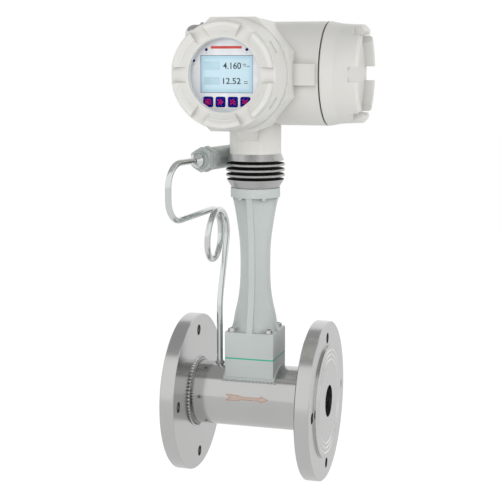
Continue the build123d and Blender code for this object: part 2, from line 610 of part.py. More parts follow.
# Pressure sensor beside the neck, reached by the impulse tube
tap_z = NECK_FOOT - 6.1
turn = radians(SENSOR_TURN)
back = Vector(sin(turn), cos(turn), 0)
fin_clear = FIN_RADIUS + SENSOR_BODY + 0.8
nut_face_y = -28.0
nut_face_x = -(fin_clear - nut_face_y * sin(turn)) / cos(turn)
NUT = Plane(origin=(nut_face_x, nut_face_y, tap_z), x_dir=(0, 0, 1), z_dir=tuple(back))
tube_r = TAPPING_TUBE / 2
nut = hexagon(FITTING_HEX, 0, NUT_HEIGHT) + rod(FITTING_HEX * 0.4, -3.5, 0.5)
nut -= turned([(0, -4), (4.4, -4), (4.4, -3.5), (tube_r, -2.3), (tube_r, 3), (8, 3), (8, 10), (0, 10)])
parts["fitting_nut"] = NUT.location * nut
fitting_low = NUT_HEIGHT + 0.6
fitting_high = fitting_low + FITTING_HEIGHT
stub_end = fitting_high + STUB_LENGTH
fitting = hexagon(FITTING_HEX + 1, fitting_low, fitting_high) + rod(8.0, 5, fitting_low)
fitting += rod(STUB_RADIUS, fitting_high, stub_end)
parts["fitting_body"] = NUT.location * (fitting - rod(tube_r, 4, 12) - rod(2, 11, stub_end + 1))
parts["ferrule"] = NUT.location * turned([(tube_r, 3), (7.2, 3), (7.2, 5), (tube_r, 5)])
sensor = rod(SENSOR_BODY, fitting_high, fitting_high + SENSOR_LENGTH)
sensor = chamfer(sensor.edges().filter_by(GeomType.CIRCLE), 1.2)
sensor = NUT.location * (sensor - rod(STUB_RADIUS, fitting_low, stub_end))
cross = sin(radians(arm_turn)) * sin(turn) - cos(radians(arm_turn)) * cos(turn)
arm_reach = fin_clear / cross
arm_top = tap_z + SENSOR_BODY - 0.3
arm = Box(arm_reach - arm_seat, 8.0, arm_top - arm_low)
arm = ARM * Pos((arm_seat + arm_reach) / 2, 0, (arm_low + arm_top) / 2) * arm
arm_flange = ARM * Pos(arm_seat + 1.5, 0, arm_middle) * Box(3.0, ARM_WIDTH, ARM_HEIGHT)
arm_web = ARM * Pos(arm_seat + 5.0, 0, arm_low + 4.5) * Box(10.0, 5.0, 9.0)
parts["pressure_sensor"] = sensor + arm + arm_flange + arm_web - arm_holes
arm_screw = socket_screw(2.6, 2.5, 1.5, 3.0 + 5.0)
parts["arm_screws"] = Compound(
    [ARM * Pos(arm_seat + 3.0, y, z) * Rot(0, 90, 0) * arm_screw for y, z in arm_screws_at]
)

# Impulse tube: out of the nut, down, back, once round a coil and down to the flow tube
coil_top = tap_z - COIL_DROP
coil_z = coil_top - COIL_RADIUS
coil_axis = Vector(1, -0.019, -0.040).normalized()
coil_up = (Vector(0, 0, 1) - coil_axis * coil_axis.Z).normalized()
turn_in = 6.0
coil_line = Helix(COIL_PITCH, COIL_PITCH * COIL_TURN / 360, COIL_RADIUS, lefthand=True)
loose_coil = Plane(origin=(0, 0, coil_z), x_dir=coil_up, z_dir=coil_axis).location * coil_line
coil_shift = TAP_X - ((loose_coil @ 1) + (loose_coil % 1) * turn_in).X
coil = Pos(coil_shift, 0, 0) * loose_coil


def bend(corner, way_in, way_out, reach):
    """An arc round a corner, tangent to both ways, that starts and ends at a reach from it."""
    start = corner - way_in * reach
    end = corner + way_out * reach
    middle = (start + end) * 0.5
    half_turn = radians(way_in.get_angle(way_out)) / 2
    inward = (corner - middle).normalized()
    radius = reach / tan(half_turn)
    rise = radius * (1 - cos(half_turn))
    return ThreePointArc(start, middle + inward * rise, end)


down = Vector(0, 0, -1)
nut_origin = Vector(nut_face_x, nut_face_y, tap_z)
tube_start = nut_origin + back * 5.0
front_corner = nut_origin - back * (TUBE_STRAIGHT + BEND_RADIUS)
coil_in = coil % 0
coil_out = coil % 1
in_corner = (coil @ 0) - coil_in * turn_in
low_corner = Vector(front_corner.X, front_corner.Y, in_corner.Z - STRAND_RISE)
away = (in_corner - low_corner).normalized()
out_corner = (coil @ 1) + coil_out * turn_in
leave_way = Vector(0, coil_out.Y, coil_out.Z).normalized()
last_corner = out_corner + leave_way * (-out_corner.Y / leave_way.Y)
route_bends = [
    bend(front_corner, -back, down, BEND_RADIUS),
    bend(low_corner, down, away, BEND_RADIUS),
    bend(in_corner, away, coil_in, turn_in),
    bend(out_corner, coil_out, leave_way, turn_in),
    bend(last_corner, leave_way, down, BEND_RADIUS / 2),
]
route = Wire([
    Line(tube_start, route_bends[0] @ 0),
    route_bends[0],
    Line(route_bends[0] @ 1, route_bends[1] @ 0),
    route_bends[1],
    Line(route_bends[1] @ 1, route_bends[2] @ 0),
    route_bends[2],
    coil,
    route_bends[3],
    Line(route_bends[3] @ 1, route_bends[4] @ 0),
    route_bends[4],
    Line(route_bends[4] @ 1, Vector(TAP_X, 0, TUBE_OD / 2)),
])
mouth = Plane(origin=tube_start, z_dir=-back)
parts["impulse_tube"] = sweep(mouth * Circle(tube_r), path=route)

# Boss on the flow tube that the impulse tube is welded into
tap_boss = rod(tube_r + 1.6, TUBE_OD / 2 - 2, TUBE_OD / 2 + 1.6) - rod(tube_r, 0, TUBE_OD)
parts["tap_boss"] = Pos(TAP_X, 0, 0) * tap_boss - saddle

# Export, with the origin moved to the face of the inlet flange that the bolts pass through
os.makedirs("parts", exist_ok=True)
for name, shape in parts.items():
    export_step(Pos(FACE_TO_FACE / 2 - RAISED_STEP, 0, 0) * shape, "parts/" + name + ".step")
    print(name, len(shape.solids()))
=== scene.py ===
# %% [markdown]
# # Dressing a vortex flow meter
# The measured model arrives as a fixed frame: every casting, flange, screw and seal is already at
# its real size. Here each surface gets its finish, and the small things that a measured model
# leaves out are modelled on top: weld ripples, screw threads, the signs on the keys, the figures
# on the screen and the flow arrow. Everything is in metres, with the flow along +X and +Z up.

# %% Load the measured model
from math import asin, cos, hypot, pi, radians, sin

import bmesh
import bpy
from mathutils import Matrix, Vector


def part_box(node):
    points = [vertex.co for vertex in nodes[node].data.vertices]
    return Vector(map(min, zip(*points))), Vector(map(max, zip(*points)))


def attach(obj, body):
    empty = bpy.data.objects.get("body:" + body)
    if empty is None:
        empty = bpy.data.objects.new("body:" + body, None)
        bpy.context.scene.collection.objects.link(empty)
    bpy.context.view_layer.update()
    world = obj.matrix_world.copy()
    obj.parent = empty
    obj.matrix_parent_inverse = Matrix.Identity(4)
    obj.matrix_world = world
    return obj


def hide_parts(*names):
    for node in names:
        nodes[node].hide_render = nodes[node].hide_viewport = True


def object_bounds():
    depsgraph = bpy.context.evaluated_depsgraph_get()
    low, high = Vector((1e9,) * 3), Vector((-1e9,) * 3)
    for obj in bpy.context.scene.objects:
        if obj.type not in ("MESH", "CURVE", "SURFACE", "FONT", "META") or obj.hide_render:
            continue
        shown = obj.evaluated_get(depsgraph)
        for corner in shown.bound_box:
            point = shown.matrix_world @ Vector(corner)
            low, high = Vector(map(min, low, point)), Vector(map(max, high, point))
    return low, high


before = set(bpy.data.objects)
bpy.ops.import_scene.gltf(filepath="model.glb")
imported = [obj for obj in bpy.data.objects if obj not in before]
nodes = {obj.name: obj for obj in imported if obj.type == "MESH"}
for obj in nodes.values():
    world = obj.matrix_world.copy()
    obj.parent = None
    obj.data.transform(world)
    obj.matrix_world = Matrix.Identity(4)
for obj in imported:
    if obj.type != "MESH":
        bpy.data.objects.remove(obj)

cad_box = [list(corner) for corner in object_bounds()]
scene = bpy.context.scene
MM = 0.001
print("loaded", len(nodes), "nodes, box", [[round(v, 4) for v in corner] for corner in cad_box])

# %% [markdown]
# The camera stands where the photographer's stood. It was worked out from the ellipses of the
# flanges and their bolt holes, so it is written as a place, a point it looks at and a focal
# length. A long lens keeps the meter's upright lines nearly parallel.

# %% Camera
CAMERA_PLACE = Vector((0.42034, -1.19864, 0.35244))
LOOKS_AT = Vector((0.07165, -0.00156, 0.15429))
LENS_MM = 88.16
FILM_MM = 36.0
camera_data = bpy.data.cameras.new("camera")
camera_data.lens = LENS_MM
camera_data.sensor_width = FILM_MM
camera = bpy.data.objects.new("camera", camera_data)
camera.location = CAMERA_PLACE
camera.rotation_euler = (LOOKS_AT - CAMERA_PLACE).to_track_quat("-Z", "Y").to_euler()
scene.collection.objects.link(camera)
scene.camera = camera
scene.view_settings.view_transform = "Standard"
print("camera is", round((LOOKS_AT - CAMERA_PLACE).length, 3), "m from the meter")

# %% [markdown]
# ## The studio
# Some things in a studio should look one way to the eye and another way to the light. The Light
# Path node tells a material which kind of ray is asking, and a Mix Shader node answers it. Three
# small helpers join such nodes.

# %% Helpers for light


def combine(tree, operation, first, second):
    """Two values multiplied, or the larger of the two."""
    node = tree.nodes.new("ShaderNodeMath")
    node.operation = operation
    tree.links.new(first, node.inputs[0])
    tree.links.new(second, node.inputs[1])
    return node.outputs[0]


def any_ray(tree, *kinds):
    """1 for rays of any of these kinds, and 0 for all others."""
    path = tree.nodes.new("ShaderNodeLightPath")
    found = path.outputs[kinds[0]]
    for kind in kinds[1:]:
        found = combine(tree, "MAXIMUM", found, path.outputs[kind])
    return found


def mix_shaders(tree, share, first, second):
    """The first shader where a share is 0, and the second where it is 1."""
    node = tree.nodes.new("ShaderNodeMixShader")
    tree.links.new(share, node.inputs[0])
    tree.links.new(first, node.inputs[1])
    tree.links.new(second, node.inputs[2])
    return node.outputs[0]


print("light helpers ready")

# %% [markdown]
# A product photograph of a pale, partly polished thing is taken in a white room. Painted castings
# want soft light from everywhere, but as much light as the white of the background would wash
# them out. So the world is white to the eye, in mirrors and through glass, and gives a moderate
# light to everything else.

# %% White room
WORLD_LIGHT = 0.45
ROOM_TINT = (0.97, 0.985, 1.0, 1.0)
world = bpy.data.worlds.new("white_room")
scene.world = world
world.use_nodes = True
world_tree = world.node_tree
world_tree.nodes.clear()
room_light = world_tree.nodes.new("ShaderNodeBackground")
room_light.inputs["Color"].default_value = ROOM_TINT
room_light.inputs["Strength"].default_value = WORLD_LIGHT
room_white = world_tree.nodes.new("ShaderNodeBackground")
room_white.inputs["Color"].default_value = (1.0, 1.0, 1.0, 1.0)
room_white.inputs["Strength"].default_value = 1.0
room_shown = any_ray(world_tree, "Is Camera Ray", "Is Glossy Ray", "Is Transmission Ray")
room_mix = mix_shaders(world_tree, room_shown, room_light.outputs[0], room_white.outputs[0])
room_out = world_tree.nodes.new("ShaderNodeOutputWorld")
world_tree.links.new(room_mix, room_out.inputs[0])
print("white room with a world light of", WORLD_LIGHT)

# %% [markdown]
# Light from everywhere has no direction, so four wide lamps model the form: one low on the left,
# one in front, one on the right and a stronger one behind, which lights the back for whoever
# walks round the meter. No mirror shows them, because a photographer hides lamps too.

# %% Soft lamps
METER_MIDDLE = Vector((0.077, 0.0, 0.15))


def soft_lamp(name, place, power, size):
    """A square area lamp that faces the meter."""
    lamp_data = bpy.data.lights.new(name, "AREA")
    lamp_data.energy = power
    lamp_data.size = size
    lamp = bpy.data.objects.new(name, lamp_data)
    lamp.location = place
    lamp.rotation_euler = (METER_MIDDLE - Vector(place)).to_track_quat("-Z", "Y").to_euler()
    lamp.visible_glossy = False
    scene.collection.objects.link(lamp)
    print(name, "gives", power, "W")


soft_lamp("left_lamp", (-1.05, -1.15, 0.12), 6.5, 0.8)
soft_lamp("front_lamp", (0.25, -1.55, 0.75), 7.5, 0.8)
soft_lamp("right_lamp", (1.45, -0.45, 0.60), 6.5, 0.8)
soft_lamp("back_lamp", (0.2, 1.3, 1.0), 11.0, 1.0)

# %% [markdown]
# Bare steel only looks like steel when it mirrors something darker than white. One grey card
# hangs overhead, and nothing but a mirror shows it. A grid of one face, stretched and moved,
# makes this card as well as the floor below.

# %% Overhead card
CARD_PLACE = (0.0, 0.35, 1.5)
CARD_HALF_WIDTH = 2.2
CARD_HALF_DEPTH = 1.12
CARD_GREY = 0.42


def studio_sheet(name, half_width, half_depth, place):
    """A level rectangle that belongs to the studio and not to the meter."""
    bench = bmesh.new()
    bmesh.ops.create_grid(bench, x_segments=1, y_segments=1, size=1.0)
    stretch = Matrix.Diagonal((half_width, half_depth, 1.0, 1.0))
    bmesh.ops.transform(bench, matrix=Matrix.Translation(place) @ stretch, verts=bench.verts)
    mesh = bpy.data.meshes.new(name)
    bench.to_mesh(mesh)
    bench.free()
    sheet = bpy.data.objects.new(name, mesh)
    scene.collection.objects.link(sheet)
    return sheet


card = studio_sheet("overhead_card", CARD_HALF_WIDTH, CARD_HALF_DEPTH, CARD_PLACE)
card.visible_camera = False
card.visible_diffuse = False
card.visible_transmission = False
card.visible_shadow = False
card_finish = bpy.data.materials.new("card_grey")
card_finish.use_nodes = True
card_tree = card_finish.node_tree
card_tree.nodes.clear()
card_glow = card_tree.nodes.new("ShaderNodeEmission")
card_glow.inputs["Color"].default_value = (CARD_GREY, CARD_GREY, CARD_GREY, 1.0)
card_out = card_tree.nodes.new("ShaderNodeOutputMaterial")
card_tree.links.new(card_glow.outputs[0], card_out.inputs["Surface"])
card.data.materials.append(card_finish)
print("grey card at", CARD_PLACE[2], "m")

# %% [markdown]
# The floor is a plain sheet that the flanges stand on. To the camera it glows as white as the
# room, but a small share of it is plain paint, which keeps the meter's own soft shadow. In
# mirrors it is a little darker, so the undersides of the flanges don't burn out.

# %% Floor
FLOOR_LEVEL = cad_box[0][2]
FLOOR_HALF = 6.0
FLOOR_SINK = 0.2 * MM
FLOOR_TO_EYE = 1.06
FLOOR_IN_MIRRORS = 0.8
GLOW_SHARE = 0.92
floor = studio_sheet("floor", FLOOR_HALF, FLOOR_HALF, (0, 0, FLOOR_LEVEL - FLOOR_SINK))
floor_finish = bpy.data.materials.new("floor_white")
floor_finish.use_nodes = True
floor_tree = floor_finish.node_tree
floor_paint = floor_tree.nodes["Principled BSDF"]
floor_paint.inputs["Base Color"].default_value = (0.94, 0.94, 0.94, 1.0)
floor_paint.inputs["Roughness"].default_value = 0.9
floor_paint.inputs["Specular IOR Level"].default_value = 0.0
floor_glow = floor_tree.nodes.new("ShaderNodeEmission")
floor_glow.inputs["Color"].default_value = (1.0, 1.0, 1.0, 1.0)
floor_strength = floor_tree.nodes.new("ShaderNodeMapRange")
floor_strength.inputs["To Min"].default_value = FLOOR_IN_MIRRORS
floor_strength.inputs["To Max"].default_value = FLOOR_TO_EYE
floor_tree.links.new(any_ray(floor_tree, "Is Camera Ray"), floor_strength.inputs["Value"])
floor_tree.links.new(floor_strength.outputs["Result"], floor_glow.inputs["Strength"])
glow_share = floor_tree.nodes.new("ShaderNodeMath")
glow_share.operation = "MULTIPLY"
glow_share.inputs[1].default_value = GLOW_SHARE
floor_tree.links.new(any_ray(floor_tree, "Is Camera Ray", "Is Glossy Ray"), glow_share.inputs[0])
floor_mix = mix_shaders(floor_tree, glow_share.outputs[0], floor_paint.outputs[0], floor_glow.outputs[0])
floor_tree.links.new(floor_mix, floor_tree.nodes["Material Output"].inputs[0])
floor.data.materials.append(floor_finish)
print("floor at", round(FLOOR_LEVEL, 4))

# %% [markdown]
# ## Places taken from the frame
# Finishes and pieces sit on measured nodes, so their places are read from the nodes' boxes: the
# stem's axis from the column, the head's axis from the display cover, and so on.

# %% Places on the meter
MODULE_MARGIN_X = 4 * MM
MODULE_MARGIN_Z = 3 * MM
tube_low, tube_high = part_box("flow_tube")
cover_low, cover_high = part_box("display_cover")
column_low, column_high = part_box("column")
block_low, block_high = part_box("lower_block")
screen_low, screen_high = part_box("lcd_module")
cooler_low, cooler_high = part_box("cooler")
STEM_X = (column_low.x + column_high.x) / 2
HEAD_Z = (cover_low.z + cover_high.z) / 2
TUBE_RADIUS = tube_high.z
PANEL_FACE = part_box("display_panel")[0].y
SCREEN_FACE = screen_low.y
SCREEN_Z = (screen_low.z + screen_high.z) / 2
SCREEN_WIDTH = screen_high.x - screen_low.x - MODULE_MARGIN_X
SCREEN_HEIGHT = screen_high.z - screen_low.z - MODULE_MARGIN_Z
FIN_RADIUS = (cooler_high.x - cooler_low.x) / 2
print("stem at", round(STEM_X, 4), "and head axis at", round(HEAD_Z, 4))
print("tube radius", round(TUBE_RADIUS, 4), "and cooler radius", round(FIN_RADIUS, 4))
print("screen", round(SCREEN_WIDTH, 4), "by", round(SCREEN_HEIGHT, 4))

# %% [markdown]
# ## Finishes
# Every finish starts from the same few nodes: Object coordinates in metres and one or two noises,
# stretched onto a range or turned into a colour. These helpers keep the recipes short. A value
# that is the same all over a surface goes straight onto the shader's socket.

# %% Helpers for colour


def new_finish(name, colour, roughness, metallic=0.0):
    """A material with its plain values set, and its node tree and shader."""
    finish = bpy.data.materials.new(name)
    finish.use_nodes = True
    shader = finish.node_tree.nodes["Principled BSDF"]
    shader.inputs["Base Color"].default_value = (*colour, 1.0)
    shader.inputs["Roughness"].default_value = roughness
    shader.inputs["Metallic"].default_value = metallic
    finish.diffuse_color = (*colour, 1.0)
    return finish, finish.node_tree, shader


def object_place(tree):
    """The point's place on the meter, in metres."""
    return tree.nodes.new("ShaderNodeTexCoord").outputs["Object"]


def noise(tree, place, scale, detail=2.0, roughness=0.5):
    """A noise of one size, from 0 to 1."""
    node = tree.nodes.new("ShaderNodeTexNoise")
    node.inputs["Scale"].default_value = scale
    node.inputs["Detail"].default_value = detail
    node.inputs["Roughness"].default_value = roughness
    tree.links.new(place, node.inputs["Vector"])
    return node.outputs["Fac"]


def spread(tree, value, low, high, from_low=0.3, from_high=0.7):
    """A value stretched onto another range."""
    node = tree.nodes.new("ShaderNodeMapRange")
    node.inputs["From Min"].default_value = from_low
    node.inputs["From Max"].default_value = from_high
    node.inputs["To Min"].default_value = low
    node.inputs["To Max"].default_value = high
    tree.links.new(value, node.inputs["Value"])
    return node.outputs["Result"]


def shade(tree, value, first, second):
    """A colour that runs from one to another as the value goes from 0 to 1."""
    ramp = tree.nodes.new("ShaderNodeValToRGB")
    ramp.color_ramp.elements[0].color = (*first, 1.0)
    ramp.color_ramp.elements[1].color = (*second, 1.0)
    tree.links.new(value, ramp.inputs["Fac"])
    return ramp.outputs["Color"]


def scaled(colour, factor):
    """A lighter or darker tint of a colour."""
    return tuple(min(1.0, part * factor) for part in colour)


print("colour helpers ready")

# %% [markdown]
# Fine relief is bump: it tilts the light on a surface and leaves its shape alone. The Bevel node
# tilts it too, near sharp edges only, which rounds them without new geometry. Ambient Occlusion
# says how open a point is, and so finds corners and notches.

# %% Helpers for relief


def bump(tree, shader, value, depth, strength=1.0, softened=None):
    """Raises the surface by a value, by up to a depth in metres."""
    node = tree.nodes.new("ShaderNodeBump")
    node.inputs["Distance"].default_value = depth
    node.inputs["Strength"].default_value = strength
    tree.links.new(value, node.inputs["Height"])
    if softened is not None:
        tree.links.new(softened, node.inputs["Normal"])
    tree.links.new(node.outputs["Normal"], shader.inputs["Normal"])


def soft_edges(tree, radius):
    """The surface's direction with its sharp edges rounded by a radius in metres."""
    node = tree.nodes.new("ShaderNodeBevel")
    node.samples = 6
    node.inputs["Radius"].default_value = radius
    return node.outputs["Normal"]


def openness(tree, reach):
    """1 on open surfaces, and less in corners and notches closer than a reach in metres."""
    node = tree.nodes.new("ShaderNodeAmbientOcclusion")
    node.samples = 8
    node.only_local = True
    node.inputs["Distance"].default_value = reach
    return node.outputs["AO"]


print("relief helpers ready")

# %% [markdown]
# Painted castings: powder coat is satin, with a faint orange peel about a millimetre across and a slow
# drift in shade where the coat is thicker. Cast edges under it are always a little round. Corners and
# notches get painted shade: where Ambient Occlusion finds them closed in, the colour is a little darker.

# %% Painted castings
OFF_WHITE = (0.700, 0.690, 0.655)
PALE_GREEN_GREY = (0.520, 0.555, 0.540)
FITTING_GREY = (0.440, 0.480, 0.465)
PAINTED_SHADE_TINT = (0.80, 0.80, 0.80)
PAINTED_SHADE_REACH = 9 * MM
PEEL_SCALE = 900.0
PEEL_DEPTH = 0.04 * MM


def cast_paint(name, colour, roughness, edge):
    """Satin paint over a casting whose edges are rounded by a radius in metres."""
    finish, tree, shader = new_finish(name, colour, roughness)
    place = object_place(tree)
    drift = spread(tree, noise(tree, place, 14.0, 3.0), 0.0, 1.0)
    coat = shade(tree, drift, scaled(colour, 0.975), scaled(colour, 1.02))
    # painted shade: the coat's colour darkens in corners and notches, where Ambient Occlusion finds
    # little open space
    open_share = spread(tree, openness(tree, PAINTED_SHADE_REACH), 0.0, 1.0, 0.45, 0.95)
    shaded_coat = tree.nodes.new("ShaderNodeVectorMath")
    shaded_coat.operation = "MULTIPLY"
    tree.links.new(coat, shaded_coat.inputs[0])
    tree.links.new(shade(tree, open_share, PAINTED_SHADE_TINT, (1.0, 1.0, 1.0)), shaded_coat.inputs[1])
    tree.links.new(shaded_coat.outputs["Vector"], shader.inputs["Base Color"])
    satin = spread(tree, noise(tree, place, 60.0), roughness - 0.05, roughness + 0.05)
    tree.links.new(satin, shader.inputs["Roughness"])
    bump(tree, shader, noise(tree, place, PEEL_SCALE), PEEL_DEPTH, 0.35, soft_edges(tree, edge))
    shader.inputs["Specular IOR Level"].default_value = 0.45
    return finish


white_paint = cast_paint("off_white_powder_coat", OFF_WHITE, 0.42, 0.8 * MM)
grey_paint = cast_paint("pale_green_grey_paint", PALE_GREEN_GREY, 0.45, 0.6 * MM)
fitting_paint = cast_paint("fitting_grey_paint", FITTING_GREY, 0.38, 0.5 * MM)
# painted shade: the weld's paint is the block's colour made darker, so the scallop row reads as lying in
# shade
shaded_weld_paint = cast_paint("weld_grey_painted_shade", scaled(PALE_GREEN_GREY, 0.82), 0.40, 0.4 * MM)
print("four paints")

# %% [markdown]
# Turned steel: a lathe tool leaves fine rings round the flow axis, on the flat faces as circles
# and on the rims as hoops. Distance along the axis and distance from it, used as the two
# coordinates of one noise, give both at once.

# %% Helpers for turned pieces


def lathe_place(tree, factor):
    """Coordinates that follow the rings of a piece turned about the flow axis, times a factor."""
    split = tree.nodes.new("ShaderNodeSeparateXYZ")
    tree.links.new(object_place(tree), split.inputs[0])
    flat = tree.nodes.new("ShaderNodeCombineXYZ")
    tree.links.new(split.outputs["Y"], flat.inputs["Y"])
    tree.links.new(split.outputs["Z"], flat.inputs["Z"])
    reach = tree.nodes.new("ShaderNodeVectorMath")
    reach.operation = "LENGTH"
    tree.links.new(flat.outputs[0], reach.inputs[0])
    rings = tree.nodes.new("ShaderNodeCombineXYZ")
    for socket, value in (("X", split.outputs["X"]), ("Y", reach.outputs["Value"])):
        times = tree.nodes.new("ShaderNodeMath")
        times.operation = "MULTIPLY"
        times.inputs[1].default_value = factor
        tree.links.new(value, times.inputs[0])
        tree.links.new(times.outputs[0], rings.inputs[socket])
    return rings.outputs[0]


def off_centre(tree, value, centre):
    """How far a coordinate is from a centre, on either side."""
    shifted = tree.nodes.new("ShaderNodeMath")
    shifted.operation = "SUBTRACT"
    shifted.inputs[1].default_value = centre
    tree.links.new(value, shifted.inputs[0])
    size = tree.nodes.new("ShaderNodeMath")
    size.operation = "ABSOLUTE"
    tree.links.new(shifted.outputs[0], size.inputs[0])
    return size.outputs[0]


def compare(tree, operation, value, limit):
    """1 where a value passes a limit, and 0 elsewhere."""
    node = tree.nodes.new("ShaderNodeMath")
    node.operation = operation
    node.inputs[1].default_value = limit
    tree.links.new(value, node.inputs[0])
    return node.outputs[0]


print("turning helpers ready")

# %% [markdown]
# Each raised face has three gasket grooves. Their walls catch the light and look brighter than the
# face, so they get a lighter steel. A point lies in one when its distance from the flow axis is
# that of a groove and its distance from the stem is that of the raised faces.

# %% Gasket grooves
GROOVE_REACHES = (53.1 * MM, 48.1 * MM, 43.1 * MM)
GROOVE_HALF = 0.8 * MM
FACE_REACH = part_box("outlet_flange")[1].x - STEM_X - 1.5 * MM


def in_grooves(tree):
    """1 in the gasket grooves of the raised faces, and 0 elsewhere."""
    split = tree.nodes.new("ShaderNodeSeparateXYZ")
    tree.links.new(lathe_place(tree, 1.0), split.inputs[0])
    rings = [
        compare(tree, "LESS_THAN", off_centre(tree, split.outputs["Y"], reach), GROOVE_HALF)
        for reach in GROOVE_REACHES
    ]
    any_ring = combine(tree, "MAXIMUM", combine(tree, "MAXIMUM", rings[0], rings[1]), rings[2])
    on_face = compare(tree, "GREATER_THAN", off_centre(tree, split.outputs["X"], STEM_X), FACE_REACH)
    return combine(tree, "MULTIPLY", any_ring, on_face)


print("raised faces are", round(FACE_REACH, 4), "m from the stem")

# %% [markdown]
# The flanges are turned and the pipe is brushed finer. Both are fully metallic, so their colour is
# the colour of what they mirror, and the rings show in the roughness and in a very shallow bump.

# %% Turned and brushed steel
STEEL_GREY = (0.580, 0.580, 0.575)
PIPE_GREY = (0.54, 0.54, 0.535)
RINGS_PER_METRE = 2600.0
RING_DEPTH = 0.002 * MM


def turned_steel(name, colour, roughness, grooved=False):
    """Bare steel with fine lathe rings round the flow axis, and bright grooves on a flange."""
    finish, tree, shader = new_finish(name, colour, roughness, 1.0)
    fine = noise(tree, lathe_place(tree, RINGS_PER_METRE), 1.0, 3.0, 0.7)
    tone = spread(tree, noise(tree, object_place(tree), 35.0, 3.0), 0.0, 1.0)
    light = scaled(colour, 1.02)
    if grooved:
        tone = in_grooves(tree)
        light = scaled(colour, 1.45)
    tree.links.new(shade(tree, tone, scaled(colour, 0.99), light), shader.inputs["Base Color"])
    tree.links.new(spread(tree, fine, roughness - 0.02, roughness + 0.03), shader.inputs["Roughness"])
    bump(tree, shader, fine, RING_DEPTH, 0.3, soft_edges(tree, 0.5 * MM))
    return finish


flange_steel = turned_steel("turned_flange_steel", STEEL_GREY, 0.20, grooved=True)
pipe_steel = turned_steel("brushed_pipe_steel", PIPE_GREY, 0.13)
print("two steels")

# %% [markdown]
# Polished metal: the impulse tube, the gland and the screws are bright. A faint smear in the
# roughness keeps them from looking like mirrors made by a computer. Weld metal is duller and only
# half metallic, because a thin grey skin of oxide lies on it.

# %% Polished metals


def polished(name, colour, roughness, smear=40.0):
    """Bright metal with a faint smear."""
    finish, tree, shader = new_finish(name, colour, roughness, 1.0)
    haze = noise(tree, object_place(tree), smear, 3.0)
    tree.links.new(spread(tree, haze, roughness - 0.02, roughness + 0.03), shader.inputs["Roughness"])
    return finish


tube_finish = polished("polished_tube", (0.72, 0.745, 0.74), 0.16)
tube_tree = tube_finish.node_tree
tube_tree.links.new(soft_edges(tube_tree, 1.2 * MM), tube_tree.nodes["Principled BSDF"].inputs["Normal"])
gland_finish = polished("nickel_plate", (0.66, 0.66, 0.66), 0.12)
screw_finish = polished("bright_screws", (0.72, 0.72, 0.73), 0.18)
stainless_finish = polished("plain_stainless", (0.55, 0.55, 0.55), 0.28)
post_finish = polished("brass_posts", (0.72, 0.52, 0.22), 0.25)
weld_finish = polished("weld_metal", (0.50, 0.50, 0.50), 0.42, 300.0)
weld_finish.node_tree.nodes["Principled BSDF"].inputs["Metallic"].default_value = 0.55
# painted highlight: the weld points are a pale metal that stands in for the glints on the bead ends
point_highlight_finish = polished("weld_point_highlights", (0.86, 0.86, 0.85), 0.45, 300.0)
point_highlight_finish.node_tree.nodes["Principled BSDF"].inputs["Metallic"].default_value = 0.3
print("seven bright metals")

# %% [markdown]
# The cooler is one turned piece. Its rims and cones are polished, and the grooves between its fins are
# black. One material can be both if it asks how far a point is from the stem's axis and how high it is.

# %% Where the cooler is black
GROOVE_LOW = cooler_low.z + 8.6 * MM
GROOVE_HIGH = cooler_high.z - 6.8 * MM
GROOVE_REACH = FIN_RADIUS - 0.9 * MM


def between_fins(tree):
    """1 in the grooves between the cooler's fins, and 0 elsewhere."""
    split = tree.nodes.new("ShaderNodeSeparateXYZ")
    tree.links.new(object_place(tree), split.inputs[0])
    plan = tree.nodes.new("ShaderNodeCombineXYZ")
    tree.links.new(off_centre(tree, split.outputs["X"], STEM_X), plan.inputs["X"])
    tree.links.new(split.outputs["Y"], plan.inputs["Y"])
    reach = tree.nodes.new("ShaderNodeVectorMath")
    reach.operation = "LENGTH"
    tree.links.new(plan.outputs[0], reach.inputs[0])
    deep = compare(tree, "LESS_THAN", reach.outputs["Value"], GROOVE_REACH)
    above = compare(tree, "GREATER_THAN", split.outputs["Z"], GROOVE_LOW)
    below = compare(tree, "LESS_THAN", split.outputs["Z"], GROOVE_HIGH)
    return combine(tree, "MULTIPLY", deep, combine(tree, "MULTIPLY", above, below))


print("cooler grooves from", round(GROOVE_LOW, 4), "to", round(GROOVE_HIGH, 4))

# %% [markdown]
# That one answer, 1 in a groove and 0 elsewhere, then sets three things at once: the colour, how
# metallic the surface is and how rough.

# %% Cooler
COOLER_GREY = (0.530, 0.530, 0.525)
GROOVE_BLACK = (0.004, 0.004, 0.004)
BRIGHT_ROUGHNESS = 0.32
BLACK_ROUGHNESS = 0.75
cooler_finish, cooler_tree, cooler_shader = new_finish(
    "polished_aluminium", COOLER_GREY, BRIGHT_ROUGHNESS, 1.0,
)
black = between_fins(cooler_tree)
cooler_tint = shade(cooler_tree, black, COOLER_GREY, GROOVE_BLACK)
cooler_metal = spread(cooler_tree, black, 1.0, 0.0, 0.0, 1.0)
cooler_gloss = spread(cooler_tree, black, BRIGHT_ROUGHNESS, BLACK_ROUGHNESS, 0.0, 1.0)
cooler_tree.links.new(cooler_tint, cooler_shader.inputs["Base Color"])
cooler_tree.links.new(cooler_metal, cooler_shader.inputs["Metallic"])
cooler_tree.links.new(cooler_gloss, cooler_shader.inputs["Roughness"])
print("cooler finish")

# %% [markdown]
# Small moulded things: rubber seals, the green gasket, dark plastics and the circuit board. All
# share one recipe, a faint drift in shade and a fine grain.

# %% Rubber and plastics


def plain_plastic(name, colour, roughness, grain=1200.0, depth=0.02 * MM):
    """Moulded plastic or rubber with a fine grain."""
    finish, tree, shader = new_finish(name, colour, roughness)
    place = object_place(tree)
    tint = spread(tree, noise(tree, place, 80.0), 0.0, 1.0)
    tone = shade(tree, tint, scaled(colour, 0.93), scaled(colour, 1.05))
    tree.links.new(tone, shader.inputs["Base Color"])
    bump(tree, shader, noise(tree, place, grain), depth, 0.4)
    return finish


